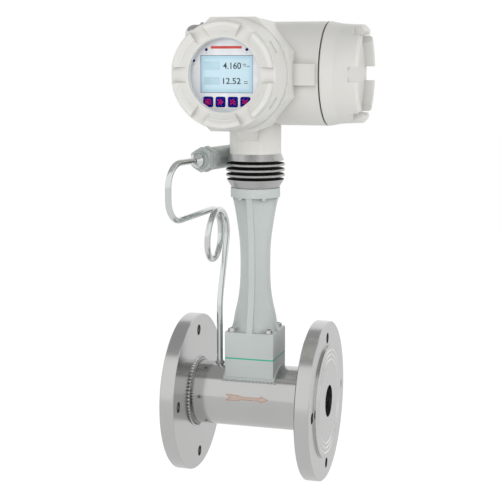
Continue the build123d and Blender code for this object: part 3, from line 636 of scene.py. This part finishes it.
rubber_finish = plain_plastic("black_rubber", (0.018, 0.018, 0.020), 0.65)
gasket_finish = plain_plastic("green_gasket", (0.035, 0.475, 0.290), 0.60, 700.0)
dark_plastic = plain_plastic("dark_plastic", (0.035, 0.035, 0.038), 0.50)
terminal_plastic = plain_plastic("terminal_plastic", (0.045, 0.060, 0.052), 0.50)
board_finish = plain_plastic("circuit_board", (0.012, 0.075, 0.030), 0.40)
print("five moulded finishes")

# %% [markdown]
# The panel is a printed film. Its silver ground has a weak painted glow, painted light that brightens it
# in the shade of its deep window. The key caps, the lights and the print are matt inks, so they get
# hardly any gloss: under glass a glossy dark ink would turn grey.

# %% Panel, keys and print
PANEL_SILVER = (0.740, 0.745, 0.765)
PAINTED_GLOW = 0.06
MATT_INK = 0.05
panel_finish = plain_plastic("silver_panel_film", PANEL_SILVER, 0.38, 2200.0, 0.01 * MM)
panel_shader = panel_finish.node_tree.nodes["Principled BSDF"]
panel_shader.inputs["Emission Color"].default_value = (*PANEL_SILVER, 1.0)
# painted light: a weak glow that brightens the panel film in its deep window
panel_shader.inputs["Emission Strength"].default_value = PAINTED_GLOW
key_finish = plain_plastic("navy_key_film", (0.001, 0.001, 0.190), 0.35, 1500.0, 0.01 * MM)
key_line = plain_plastic("key_border_print", (0.020, 0.030, 0.400), 0.40)
light_finish = plain_plastic("navy_light", (0.003, 0.003, 0.130), 0.20)
sign_red = plain_plastic("crimson_print", (0.700, 0.008, 0.090), 0.45)
for ink in (key_finish, key_line, light_finish, sign_red):
    ink.node_tree.nodes["Principled BSDF"].inputs["Specular IOR Level"].default_value = MATT_INK
stripe_red = plain_plastic("red_print", (0.560, 0.060, 0.050), 0.45)
print_grey = plain_plastic("grey_print", (0.300, 0.300, 0.310), 0.50)
figure_grey = plain_plastic("screen_figures", (0.020, 0.030, 0.040), 0.45)
field_blue = plain_plastic("screen_fields", (0.475, 0.655, 0.745), 0.32)
frame_line = plain_plastic("screen_frame", (0.080, 0.060, 0.080), 0.40)
# painted reflection: the pale blue of the glass's ground edge
bevel_reflection_blue = plain_plastic("window_bevel", (0.660, 0.730, 0.770), 0.35)
arrow_fill = plain_plastic("arrow_beige", (0.560, 0.430, 0.370), 0.55)
arrow_edge = plain_plastic("arrow_brown", (0.420, 0.235, 0.140), 0.55)
print("panel film, key film and print")

# %% [markdown]
# The screen has the same weak painted glow as the panel, painted light that brightens it in its deep
# window, and it is a little darker towards its edges. The distance from the screen's middle, sideways or
# up, gives the tint.

# %% Screen
SCREEN_BLUE = (0.560, 0.725, 0.800)
SCREEN_EDGE_BLUE = (0.375, 0.575, 0.690)
screen_finish, screen_tree, screen_shader = new_finish("screen_blue", SCREEN_BLUE, 0.30)
screen_split = screen_tree.nodes.new("ShaderNodeSeparateXYZ")
screen_tree.links.new(object_place(screen_tree), screen_split.inputs[0])
sideways = off_centre(screen_tree, screen_split.outputs["X"], STEM_X)
upward = off_centre(screen_tree, screen_split.outputs["Z"], SCREEN_Z)
screen_edge = combine(
    screen_tree,
    "MAXIMUM",
    spread(screen_tree, sideways, 0.0, 1.0, SCREEN_WIDTH * 0.40, SCREEN_WIDTH / 2),
    spread(screen_tree, upward, 0.0, 1.0, SCREEN_HEIGHT * 0.36, SCREEN_HEIGHT / 2),
)
screen_tint = shade(screen_tree, screen_edge, SCREEN_BLUE, SCREEN_EDGE_BLUE)
screen_tree.links.new(screen_tint, screen_shader.inputs["Base Color"])
screen_tree.links.new(screen_tint, screen_shader.inputs["Emission Color"])
# painted light: the same weak glow brightens the screen in its deep window
screen_shader.inputs["Emission Strength"].default_value = PAINTED_GLOW
print("screen finish")

# %% [markdown]
# Window glass lights what lies behind it rightly only if it lets plain light pass both ways. So
# for shadow rays and diffuse rays it becomes transparent, and to the eye and to mirrors it stays
# glass.

# %% Window glass
glass_finish, glass_tree, glass_shader = new_finish("window_glass", (0.985, 0.995, 1.0), 0.01)
glass_shader.inputs["Transmission Weight"].default_value = 1.0
glass_shader.inputs["IOR"].default_value = 1.12
glass_shader.inputs["Specular IOR Level"].default_value = 0.30
glass_clear = glass_tree.nodes.new("ShaderNodeBsdfTransparent")
glass_pass = any_ray(glass_tree, "Is Shadow Ray", "Is Diffuse Ray")
glass_mix = mix_shaders(glass_tree, glass_pass, glass_shader.outputs[0], glass_clear.outputs[0])
glass_tree.links.new(glass_mix, glass_tree.nodes["Material Output"].inputs[0])
print("window glass")

# %% [markdown]
# Each measured node takes the finish of what it is made of. A node keeps its shape: only the
# material in its slots changes.

# %% Finishes onto the measured nodes
NODES_IN = (
    (pipe_steel, ("flow_tube",)),
    (flange_steel, ("inlet_flange", "outlet_flange")),
    (weld_finish, ("inlet_weld", "outlet_weld", "tap_boss")),
    (stainless_finish, ("shedder_bar", "sensor_probe", "ferrule")),
    (grey_paint, ("lower_block", "block_weld", "column")),
    (gasket_finish, ("block_gasket",)),
    (screw_finish, ("block_screws", "collar_screws", "arm_screws", "terminal_screws")),
    (cooler_finish, ("cooler",)),
    (white_paint, ("housing", "display_cover", "side_cover")),
    (glass_finish, ("window_glass",)),
    (rubber_finish, ("sensor_seal", "display_seal", "side_seal", "gland_blank")),
    (dark_plastic, ("glass_ring", "terminal_plate")),
    (panel_finish, ("display_panel",)),
    (light_finish, ("status_lights",)),
    (screen_finish, ("lcd_module",)),
    (board_finish, ("display_board",)),
    (post_finish, ("display_posts",)),
    (key_finish, ("key_menu", "key_next", "key_up", "key_down")),
    (terminal_plastic, ("terminal_block",)),
    (gland_finish, ("gland_body", "gland_nut", "blanking_plug")),
    (fitting_paint, ("fitting_nut", "fitting_body", "pressure_sensor")),
    (tube_finish, ("impulse_tube",)),
)
finished = 0
for finish, node_names in NODES_IN:
    for node_name in node_names:
        slots = nodes[node_name].data.materials
        for index in range(len(slots)):
            slots[index] = finish
        finished += 1
print("finished", finished, "of", len(nodes), "nodes")

# %% [markdown]
# ## Modelling helpers
# A bmesh is an empty bench: an operator puts a shape on it, others bend it, and the last helper
# turns it into an object that rides on a body of the meter. Edges sharper than an angle stay
# crisp, and all others are shaded smooth.

# %% Helpers that finish a piece


def finish_piece(name, bench, body, slot, *finishes, sharp_from=40):
    """Makes an object of what is on the bench, and lets it ride on a body."""
    mesh = bpy.data.meshes.new(name)
    for finish in finishes:
        mesh.materials.append(finish)
    for face in bench.faces:
        face.smooth = True
    bench.to_mesh(mesh)
    bench.free()
    mesh.set_sharp_from_angle(angle=radians(sharp_from))
    piece = bpy.data.objects.new(name, mesh)
    scene.collection.objects.link(piece)
    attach(piece, body)
    print(name, "has", len(mesh.polygons), "faces")
    return piece


def merge(bench):
    """Joins vertices that lie on each other and turns every face outwards."""
    bmesh.ops.remove_doubles(bench, verts=bench.verts, dist=1e-7)
    bmesh.ops.recalc_face_normals(bench, faces=bench.faces)


print("finishing helpers ready")

# %% [markdown]
# Print and signs are drawn flat in the XY plane, given a thickness along Z, and then stood up to
# face the reader. A lone face has no direction yet, and an inset needs one, so each outline's
# normal is worked out at once.

# %% Helpers for flat drawings
TO_READER = Matrix.Rotation(radians(90), 4, "X")


def outline(bench, corners):
    """One flat face in the XY plane from its corners."""
    face = bench.faces.new([bench.verts.new((x, y, 0.0)) for x, y in corners])
    face.normal_update()
    return face


def rectangle(bench, x, y, width, height):
    """A flat rectangle centred on a point of the XY plane."""
    return outline(bench, [
        (x - width / 2, y - height / 2),
        (x + width / 2, y - height / 2),
        (x + width / 2, y + height / 2),
        (x - width / 2, y + height / 2),
    ])


def raise_faces(bench, faces, height):
    """Gives flat faces a thickness along Z."""
    grown = bmesh.ops.extrude_face_region(bench, geom=faces)
    tops = [item for item in grown["geom"] if isinstance(item, bmesh.types.BMVert)]
    bmesh.ops.translate(bench, verts=tops, vec=(0, 0, height))


def bar(bench, x, y, width, height, thick):
    """A rectangle with a thickness, centred on a point of the XY plane."""
    raise_faces(bench, [rectangle(bench, x, y, width, height)], thick)


def hollow_frame(bench, x, y, width, height, line, thick):
    """A rectangular line round a point of the XY plane, with a thickness."""
    face = rectangle(bench, x, y, width, height)
    rim = bmesh.ops.inset_region(
        bench, faces=[face], thickness=line, use_boundary=True, use_even_offset=True,
    )
    bmesh.ops.delete(bench, geom=[face], context="FACES_ONLY")
    raise_faces(bench, rim["faces"], thick)


def face_reader(bench, level):
    """Stands drawn shapes up at the head's axis, at a level along Y."""
    stand = Matrix.Translation((STEM_X, level, HEAD_Z)) @ TO_READER
    bmesh.ops.transform(bench, matrix=stand, verts=bench.verts)


print("drawing helpers ready")

# %% [markdown]
# ## Ring welds between tube and flanges
# A hand-laid weld is a row of overlapping puddles. A small circle is spun round the flow axis
# into a ring, whose radius swells a little with each puddle. The lag across the section bends the
# ripples into crescents.

# %% Weld ripples
RING_BEADS = 60
STEPS_PER_BEAD = 8
BEAD_SECTION = 1.7 * MM
BEAD_SWELL = 0.35 * MM
BEAD_OFFSET = 0.9 * MM
BEAD_LAG = 0.25


def weld_ripples(bench, flange_face, side):
    """A rippled ring in the corner between the tube and one flange."""
    centre = Vector((flange_face + side * BEAD_OFFSET, 0.0, TUBE_RADIUS + BEAD_OFFSET))
    made = bmesh.ops.create_circle(bench, segments=12, radius=BEAD_SECTION)
    stand = Matrix.Translation(centre) @ Matrix.Rotation(radians(90), 4, "X")
    bmesh.ops.transform(bench, matrix=stand, verts=made["verts"])
    bmesh.ops.spin(
        bench, geom=bench.edges[:], cent=(0, 0, 0), axis=(1, 0, 0), angle=2 * pi,
        steps=RING_BEADS * STEPS_PER_BEAD, use_merge=True, use_duplicate=False,
    )
    for vert in bench.verts:
        turn = Vector((vert.co.y, vert.co.z)).angle_signed(Vector((0, 1)))
        hub = Vector((centre.x, centre.z * sin(turn), centre.z * cos(turn)))
        off = vert.co - hub
        lag = BEAD_LAG * off.x * side / BEAD_SECTION
        swell = abs(sin(turn * RING_BEADS / 2 + lag * pi)) - 0.6
        vert.co = hub + off * (1 + swell * BEAD_SWELL / BEAD_SECTION)


print("a puddle every", round(2000 * pi * TUBE_RADIUS / RING_BEADS, 1), "mm")

# %% [markdown]
# Where the puddles end on the flange a row of small points stands, one each, in a pale metal that is a
# painted highlight for the glints on the bead ends. A point is a flattened ball. The same ball serves the
# painted weld further down.

# %% Weld points and rings
POINT_REACH = 3.5 * MM
POINT_WIDE = 1.2 * MM
POINT_TALL = 1.8 * MM


def flattened_ball(bench, halves, place):
    """A ball squashed to three half widths and put in its place."""
    ball = bmesh.ops.create_icosphere(bench, subdivisions=2, radius=1.0)
    bmesh.ops.transform(bench, matrix=place @ Matrix.Diagonal((*halves, 1.0)), verts=ball["verts"])
    return ball["verts"]


def ring_weld(name, node, flange_face, side):
    """A ring weld with its points, which stands for the plain ring of the frame."""
    bench = bmesh.new()
    weld_ripples(bench, flange_face, side)
    lift = Matrix.Translation((flange_face, 0.0, TUBE_RADIUS + POINT_REACH))
    for i in range(RING_BEADS):
        turned_to = Matrix.Rotation(2 * pi * i / RING_BEADS, 4, "X")
        for vert in flattened_ball(bench, (POINT_TALL, POINT_WIDE, POINT_WIDE), turned_to @ lift):
            for face in vert.link_faces:
                face.material_index = 1
    merge(bench)
    piece = finish_piece(name, bench, "meter", "weld", weld_finish, point_highlight_finish)
    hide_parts(node)


ring_weld("inlet_weld_beads", "inlet_weld", tube_low.x, 1)
ring_weld("outlet_weld_beads", "outlet_weld", tube_high.x, -1)

# %% [markdown]
# ## The weld round the block's foot
# The same kind of seam, painted over: scallops about 4 mm apart follow the block's outline down
# over the round tube. Each is a flattened ball, turned to lie on the tube. First come their spots,
# each with a place along the tube, a lean round it and two half widths.

# %% Scallop spots
SCALLOP_PITCH = 3.9 * MM
SCALLOP_LONG = 1.9 * MM
SCALLOP_WIDE = 1.2 * MM
SCALLOP_TALL = 1.3 * MM
SCALLOP_LIFT = 0.4 * MM
FOOT_OFFSET = 1.3 * MM
reach_x = (block_high.x - block_low.x) / 2 + FOOT_OFFSET
reach_y = (block_high.y - block_low.y) / 2 + FOOT_OFFSET
lean_end = asin(reach_y / TUBE_RADIUS)
long_count = round(2 * reach_x / SCALLOP_PITCH)
arc_count = round(2 * lean_end * TUBE_RADIUS / SCALLOP_PITCH)
foot_spots = []
for side in (-1, 1):
    for i in range(long_count + 1):
        along = -reach_x + 2 * reach_x * i / long_count
        foot_spots.append((along, side * lean_end, SCALLOP_LONG, SCALLOP_WIDE))
    for i in range(1, arc_count):
        lean = -lean_end + 2 * lean_end * i / arc_count
        foot_spots.append((side * reach_x, lean, SCALLOP_WIDE, SCALLOP_LONG))
print(len(foot_spots), "scallops")

# %% [markdown]
# Then a ball is put on each spot. The lean turns it about the flow axis, down the tube's side.

# %% Foot weld
foot_bench = bmesh.new()
for along, lean, half_x, half_y in foot_spots:
    lift = Matrix.Translation((STEM_X + along, 0.0, TUBE_RADIUS + SCALLOP_LIFT))
    flattened_ball(foot_bench, (half_x, half_y, SCALLOP_TALL), Matrix.Rotation(-lean, 4, "X") @ lift)
finish_piece("block_weld_beads", foot_bench, "meter", "painted_weld", shaded_weld_paint)

# %% [markdown]
# ## The flare round the impulse tube
# Where the tube enters the fitting's nut, a bright sleeve widens it. Its half outline is a wire
# that is spun once round the tube's axis, which points 13 degrees off the meter's own front.

# %% Tube flare
SENSOR_TURN = radians(13.0)
FLARE_AHEAD = 9.3 * MM
FLARE_BORE = 3.25
FLARE_OUTLINE = (
    (FLARE_BORE, 5.5), (3.7, 5.6), (4.6, 4.0), (6.6, 1.2), (7.6, 0.5), (7.6, 0.0), (FLARE_BORE, 0.0),
)
nut_low, nut_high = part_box("fitting_nut")
nut_back = Vector((sin(SENSOR_TURN), cos(SENSOR_TURN), 0.0))
flare_at = (nut_low + nut_high) / 2 - nut_back * FLARE_AHEAD
flare_bench = bmesh.new()
flare_verts = [flare_bench.verts.new((r * MM, 0.0, h * MM)) for r, h in FLARE_OUTLINE]
flare_wire = [flare_bench.edges.new(pair) for pair in zip(flare_verts, flare_verts[1:] + flare_verts[:1])]
bmesh.ops.spin(
    flare_bench, geom=flare_verts + flare_wire, cent=(0, 0, 0), axis=(0, 0, 1), angle=2 * pi,
    steps=48, use_merge=True, use_duplicate=False,
)
flare_turn = Matrix.Translation(flare_at) @ (-nut_back).to_track_quat("Z", "Y").to_matrix().to_4x4()
bmesh.ops.transform(flare_bench, matrix=flare_turn, verts=flare_bench.verts)
merge(flare_bench)
finish_piece("tube_flare", flare_bench, "meter", "stainless", tube_finish, sharp_from=50)

# %% [markdown]
# ## The flow arrow
# The arrow is printed on the tube. Its outline is drawn flat, with its lower half the mirror of
# its upper one. One inset leaves a thin darker edge, and cuts every half millimetre let it bend
# when it is wrapped onto the round tube.

# %% Flow arrow
ARROW_TURN = radians(8.5)
ARROW_EDGE = 0.45 * MM
ARROW_CUT = 0.5 * MM
ARROW_CUTS = 7
ARROW_THICK = 0.06 * MM
ARROW_LIFT = 0.02 * MM
ARROW_HALF = (
    (-18.2, 0.0), (-23.0, 3.3), (-11.6, 3.0), (-7.6, 2.6),
    (-5.8, 1.7), (14.4, 1.7), (14.4, 3.7), (23.0, 0.0),
)
arrow_corners = list(ARROW_HALF) + [(x, -y) for x, y in ARROW_HALF[-2:0:-1]]
arrow_bench = bmesh.new()
arrow_face = outline(arrow_bench, [(x * MM, y * MM) for x, y in reversed(arrow_corners)])
arrow_rim = bmesh.ops.inset_region(
    arrow_bench, faces=[arrow_face], thickness=ARROW_EDGE, use_boundary=True, use_even_offset=True,
)
for face in arrow_rim["faces"]:
    face.material_index = 1
for step in range(-ARROW_CUTS, ARROW_CUTS + 1):
    geom = arrow_bench.verts[:] + arrow_bench.edges[:] + arrow_bench.faces[:]
    bmesh.ops.bisect_plane(arrow_bench, geom=geom, plane_co=(0, step * ARROW_CUT, 0), plane_no=(0, 1, 0))
raise_faces(arrow_bench, arrow_bench.faces[:], ARROW_THICK)
for vert in arrow_bench.verts:
    turn = ARROW_TURN + vert.co.y / TUBE_RADIUS
    reach = TUBE_RADIUS + ARROW_LIFT + vert.co.z
    vert.co = Vector((STEM_X + vert.co.x, -reach * cos(turn), reach * sin(turn)))
merge(arrow_bench)
finish_piece("flow_arrow", arrow_bench, "meter", "stainless", arrow_fill, arrow_edge)

# %% [markdown]
# ## The screen
# Behind the window a liquid crystal screen has a thin dark frame, and two lines with a shaded
# field at their start. These are thin raised shapes, so that they stay crisp from any distance.

# %% Screen frame and fields
FRAME_LINE = 0.4 * MM
FRAME_THICK = 0.15 * MM
FIELD_X = -14.6 * MM
FIELD_WIDTH = 15.8 * MM
FIELD_THICK = 0.05 * MM
frame_bench = bmesh.new()
hollow_frame(frame_bench, 0.0, SCREEN_Z - HEAD_Z, SCREEN_WIDTH, SCREEN_HEIGHT, FRAME_LINE, FRAME_THICK)
face_reader(frame_bench, SCREEN_FACE)
merge(frame_bench)
finish_piece("screen_frame", frame_bench, "meter", "lcd_blue", frame_line, sharp_from=20)

field_bench = bmesh.new()
for field_y, field_height in ((8.6 * MM, 8.0 * MM), (-5.6 * MM, 7.2 * MM)):
    bar(field_bench, FIELD_X, field_y, FIELD_WIDTH, field_height, FIELD_THICK)
face_reader(field_bench, SCREEN_FACE)
merge(field_bench)
finish_piece("screen_fields", field_bench, "meter", "lcd_blue", field_blue, sharp_from=20)

# %% [markdown]
# The figures are plain numbers. Each comes from a text curve that is turned into a mesh before it
# is put in its place, and is then stretched to the width and height that it has on the screen.

# %% Helper for figures
STROKE_OFFSET = 0.012
STROKE_EXTRUDE = 0.02
FIGURE_DEPTH = 5 * MM


def figures(bench, words, left, low, width, height):
    """Plain numbers as thin solid strokes, drawn in the XY plane to fill a width and a height."""
    curve = bpy.data.curves.new("figures", "FONT")
    curve.body = words
    curve.size = 1.0
    curve.extrude = STROKE_EXTRUDE
    curve.offset = STROKE_OFFSET
    text = bpy.data.objects.new("figures", curve)
    scene.collection.objects.link(text)
    bpy.context.view_layer.update()
    drawn = bpy.data.meshes.new_from_object(text.evaluated_get(bpy.context.evaluated_depsgraph_get()))
    xs = [vert.co.x for vert in drawn.vertices]
    ys = [vert.co.y for vert in drawn.vertices]
    wide = width / (max(xs) - min(xs))
    tall = height / (max(ys) - min(ys))
    size = Matrix.Diagonal((wide, tall, FIGURE_DEPTH, 1.0))
    drawn.transform(Matrix.Translation((left - min(xs) * wide, low - min(ys) * tall, 0)) @ size)
    bench.from_mesh(drawn)
    bpy.data.objects.remove(text)
    bpy.data.curves.remove(curve)
    bpy.data.meshes.remove(drawn)


print("figure helper ready")

# %% [markdown]
# To the right of each number a unit would stand. Short plain dashes take its place. A line is
# given by its height above the head's axis and the width and height of its figures, and a dash
# by its place and width, all in millimetres.

# %% Screen figures
FIGURE_LEFT = -3.6 * MM
FIGURE_LINES = (("4.160", 5.5, 17.6, 6.0), ("12.52", -8.5, 17.2, 5.8))
DASHES = ((17.2, 9.9, 3.4), (20.9, 7.6, 2.2), (17.6, 8.3, 2.2), (18.6, -6.2, 3.6), (18.6, -7.8, 3.6))
DASH_HEIGHT = 0.6 * MM
DASH_THICK = 0.1 * MM
figure_bench = bmesh.new()
for words, low, width, height in FIGURE_LINES:
    figures(figure_bench, words, FIGURE_LEFT, low * MM, width * MM, height * MM)
for x, y, width in DASHES:
    bar(figure_bench, x * MM, y * MM, width * MM, DASH_HEIGHT, DASH_THICK)
face_reader(figure_bench, SCREEN_FACE)
merge(figure_bench)
finish_piece("screen_figures", figure_bench, "meter", "lcd_blue", figure_grey, sharp_from=20)

# %% [markdown]
# ## Print on the panel
# Above the screen a red stripe stands where a maker would put a title, and beside each light
# there is a small grey tick. Both are plain marks, about a tenth of a millimetre thick or less.

# %% Panel print
STRIPE_X = -0.3 * MM
STRIPE_Y = 25.4 * MM
STRIPE_WIDTH = 30.0 * MM
STRIPE_HEIGHT = 2.4 * MM
STRIPE_THICK = 0.12 * MM
TICK_SPOTS = ((-19.7, 20.2), (19.7, 20.2), (-32.3, 10.0))
TICK_WIDTH = 1.8 * MM
TICK_HEIGHT = 0.5 * MM
TICK_THICK = 0.05 * MM
stripe_bench = bmesh.new()
bar(stripe_bench, STRIPE_X, STRIPE_Y, STRIPE_WIDTH, STRIPE_HEIGHT, STRIPE_THICK)
face_reader(stripe_bench, PANEL_FACE)
merge(stripe_bench)
finish_piece("title_stripe", stripe_bench, "meter", "panel_silver", stripe_red, sharp_from=20)

tick_bench = bmesh.new()
for x, y in TICK_SPOTS:
    bar(tick_bench, x * MM, y * MM, TICK_WIDTH, TICK_HEIGHT, TICK_THICK)
face_reader(tick_bench, PANEL_FACE)
merge(tick_bench)
finish_piece("light_ticks", tick_bench, "meter", "panel_silver", print_grey, sharp_from=20)

# %% [markdown]
# ## Signs on the keys
# The four keys carry a menu sign and three direction signs. Each sign is made of short strokes.
# A stroke is a thin bar between two points that runs a little past both, so that two of them
# meet in a full corner.

# %% Strokes and chevrons
STROKE = 0.95 * MM
INK_THICK = 0.05 * MM
SIGN_DEPTH = 2.0 * MM
SIGN_WIDTH = 4.4 * MM


def stroke(bench, start, end):
    """A straight stroke from one point to another, drawn as a thin bar."""
    run = Vector(end) - Vector(start)
    along = run.normalized() * STROKE * 0.3
    side = Vector((-run.y, run.x)).normalized() * STROKE / 2
    first = Vector(start) - along
    last = Vector(end) + along
    face = outline(bench, [first - side, last - side, last + side, first + side])
    raise_faces(bench, [face], INK_THICK)


def chevron(bench, x, y, towards):
    """Two strokes that meet in a point, towards a direction."""
    tip = Vector((x, y)) + towards * SIGN_DEPTH / 2
    across = Vector((-towards.y, towards.x)) * SIGN_WIDTH / 2
    base = Vector((x, y)) - towards * SIGN_DEPTH / 2
    stroke(bench, tip, base + across)
    stroke(bench, tip, base - across)


print("stroke", STROKE, "m wide")

# %% [markdown]
# A sign and the thin border round it ride on their own key, so that they travel with its press.

# %% Key signs
KEY_INSET = 3.4 * MM
BORDER_LINE = 0.18 * MM
BORDER_THICK = 0.04 * MM
MENU_PITCH = 1.9 * MM
MENU_WIDTH = 5.6 * MM
CHEVRON_SHIFT = 1.25 * MM


def menu_sign(bench):
    """Three level strokes."""
    for row in (-1, 0, 1):
        bar(bench, 0.0, row * MENU_PITCH, MENU_WIDTH, STROKE, INK_THICK)


def double_sign(towards):
    """Two chevrons, one behind the other."""
    def draw(bench):
        for shift in (-CHEVRON_SHIFT, CHEVRON_SHIFT):
            chevron(bench, towards.x * shift, towards.y * shift, towards)
    return draw


def key_sign(key, body, draw):
    """Draws a sign and a border on a key's face."""
    low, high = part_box(key)
    centre = ((low.x + high.x) / 2 - STEM_X, (low.z + high.z) / 2 - HEAD_Z)
    sign = bmesh.new()
    draw(sign)
    bmesh.ops.translate(sign, verts=sign.verts, vec=(*centre, 0))
    face_reader(sign, low.y)
    merge(sign)
    finish_piece(key + "_sign", sign, body, "navy_key", sign_red, sharp_from=20)
    border = bmesh.new()
    width = high.x - low.x - KEY_INSET
    height = high.z - low.z - KEY_INSET
    hollow_frame(border, *centre, width, height, BORDER_LINE, BORDER_THICK)
    face_reader(border, low.y)
    merge(border)
    finish_piece(key + "_border", border, body, "navy_key", key_line, sharp_from=20)


key_sign("key_menu", "menu_key", menu_sign)
key_sign("key_next", "next_key", double_sign(Vector((1, 0))))
key_sign("key_up", "up_key", double_sign(Vector((0, 1))))
key_sign("key_down", "down_key", double_sign(Vector((0, -1))))

# %% [markdown]
# ## The display cover's ridges
# Each of the cover's six raised pads has a fine cast ridge across its inner slope. A small circle
# is spun about the head's axis over the width of one pad, for each pad in turn, and its open ends
# are closed.

# %% Cover ridges
COVER_RADIUS = (cover_high.x - cover_low.x) / 2
PADS = 6
RIDGE_REACH = COVER_RADIUS - 11.8 * MM
RIDGE_LEVEL = -cover_low.y - 2.9 * MM
RIDGE_SECTION = 0.75 * MM
NOTCH_HALF = 8.0 * MM
pad_turn = 2 * pi / PADS
ridge_turn = pad_turn - 2 * asin(NOTCH_HALF / RIDGE_REACH)
front_axis = Matrix.Translation((STEM_X, 0, HEAD_Z)) @ TO_READER
ridge_bench = bmesh.new()
for pad in range(PADS):
    made = bmesh.ops.create_circle(ridge_bench, segments=10, radius=RIDGE_SECTION)
    stand = Matrix.Translation((RIDGE_REACH, 0, RIDGE_LEVEL)) @ Matrix.Rotation(radians(90), 4, "X")
    start = Matrix.Rotation(pad * pad_turn + (pad_turn - ridge_turn) / 2, 4, "Z")
    bmesh.ops.transform(ridge_bench, matrix=start @ stand, verts=made["verts"])
    rim_edges = list({edge for vert in made["verts"] for edge in vert.link_edges})
    bmesh.ops.spin(
        ridge_bench, geom=rim_edges, cent=(0, 0, 0), axis=(0, 0, 1), angle=ridge_turn,
        steps=24, use_duplicate=False,
    )
open_ends = [edge for edge in ridge_bench.edges if edge.is_boundary]
bmesh.ops.holes_fill(ridge_bench, edges=open_ends, sides=10)
bmesh.ops.transform(ridge_bench, matrix=front_axis, verts=ridge_bench.verts)
merge(ridge_bench)
finish_piece("cover_ridges", ridge_bench, "display_cap", "white_paint", white_paint)

# %% [markdown]
# Round the window, a thin ring is the ground edge of the glass; its pale blue is a painted reflection of
# the room in that edge. A circle's edges are extruded, the new ones shrunk, and the flat ring between
# them is given a thickness.

# %% Window bevel
WINDOW_MARGIN = 3.0 * MM
WINDOW_RADIUS = hypot(SCREEN_WIDTH / 2, SCREEN_HEIGHT / 2 + (SCREEN_Z - HEAD_Z)) + WINDOW_MARGIN
GLASS_FACE = -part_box("window_glass")[0].y
BEVEL_OUTER = WINDOW_RADIUS - 0.05 * MM
BEVEL_INNER = WINDOW_RADIUS - 0.75 * MM
BEVEL_THICK = 0.25 * MM
bevel_bench = bmesh.new()
bmesh.ops.create_circle(bevel_bench, segments=96, radius=BEVEL_OUTER)
grown = bmesh.ops.extrude_edge_only(bevel_bench, edges=bevel_bench.edges[:])
inner = [item for item in grown["geom"] if isinstance(item, bmesh.types.BMVert)]
shrink = BEVEL_INNER / BEVEL_OUTER
bmesh.ops.scale(bevel_bench, vec=(shrink, shrink, 1.0), verts=inner)
raise_faces(bevel_bench, bevel_bench.faces[:], BEVEL_THICK)
on_glass = front_axis @ Matrix.Translation((0, 0, GLASS_FACE + 0.02 * MM))
bmesh.ops.transform(bevel_bench, matrix=on_glass, verts=bevel_bench.verts)
merge(bevel_bench)
finish_piece("window_bevel", bevel_bench, "display_cap", "window_glass", bevel_reflection_blue)

# %% [markdown]
# ## Threads
# The covers screw into the head. Seen at rest only their seams show, but when they are turned
# out their threads do. A small blunt section is spun about the cover's axis while it moves along
# by one pitch a turn, which makes a helix. The radius of a cover's screwed spigot can't be read
# from a box, because the cover hides it, so it is written here.

# %% Cover threads
THREAD_PITCH = 1.5 * MM
THREAD_STEPS = 72
THREAD_TURNS = 8
THREAD_HEIGHT = 0.27 * MM
THREAD_SINK = 0.02 * MM
THREAD_START = 1.2 * MM
FRONT_SPIGOT = 46.2 * MM
SIDE_SPIGOT = 45.5 * MM


def cover_thread(name, body, spigot, spigot_end, axis_matrix):
    """A helical ridge about Z from near a spigot's end, stood on a cover's axis."""
    bench = bmesh.new()
    half = THREAD_PITCH * 0.42
    low = spigot - THREAD_SINK
    high = low + THREAD_HEIGHT
    start = spigot_end + THREAD_START
    corners = ((low, -half), (high, -half * 0.15), (high, half * 0.15), (low, half))
    ring = [bench.verts.new((r, 0.0, start + z)) for r, z in corners]
    edges = [bench.edges.new((ring[i], ring[(i + 1) % 4])) for i in range(4)]
    bmesh.ops.spin(
        bench, geom=edges, cent=(0, 0, 0), axis=(0, 0, 1), angle=2 * pi * THREAD_TURNS,
        dvec=(0, 0, THREAD_PITCH / THREAD_STEPS), steps=THREAD_STEPS * THREAD_TURNS, use_duplicate=False,
    )
    open_ends = [edge for edge in bench.edges if edge.is_boundary]
    bmesh.ops.holes_fill(bench, edges=open_ends, sides=4)
    bmesh.ops.transform(bench, matrix=axis_matrix, verts=bench.verts)
    merge(bench)
    finish_piece(name, bench, body, "white_paint", white_paint, sharp_from=25)


side_axis = Matrix.Translation((STEM_X, 0, HEAD_Z)) @ Matrix.Rotation(radians(90), 4, "Y")
side_spigot_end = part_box("side_cover")[0].x - STEM_X
cover_thread("display_cover_thread", "display_cap", FRONT_SPIGOT, -cover_high.y, front_axis)
cover_thread("side_cover_thread", "side_cap", SIDE_SPIGOT, side_spigot_end, side_axis)
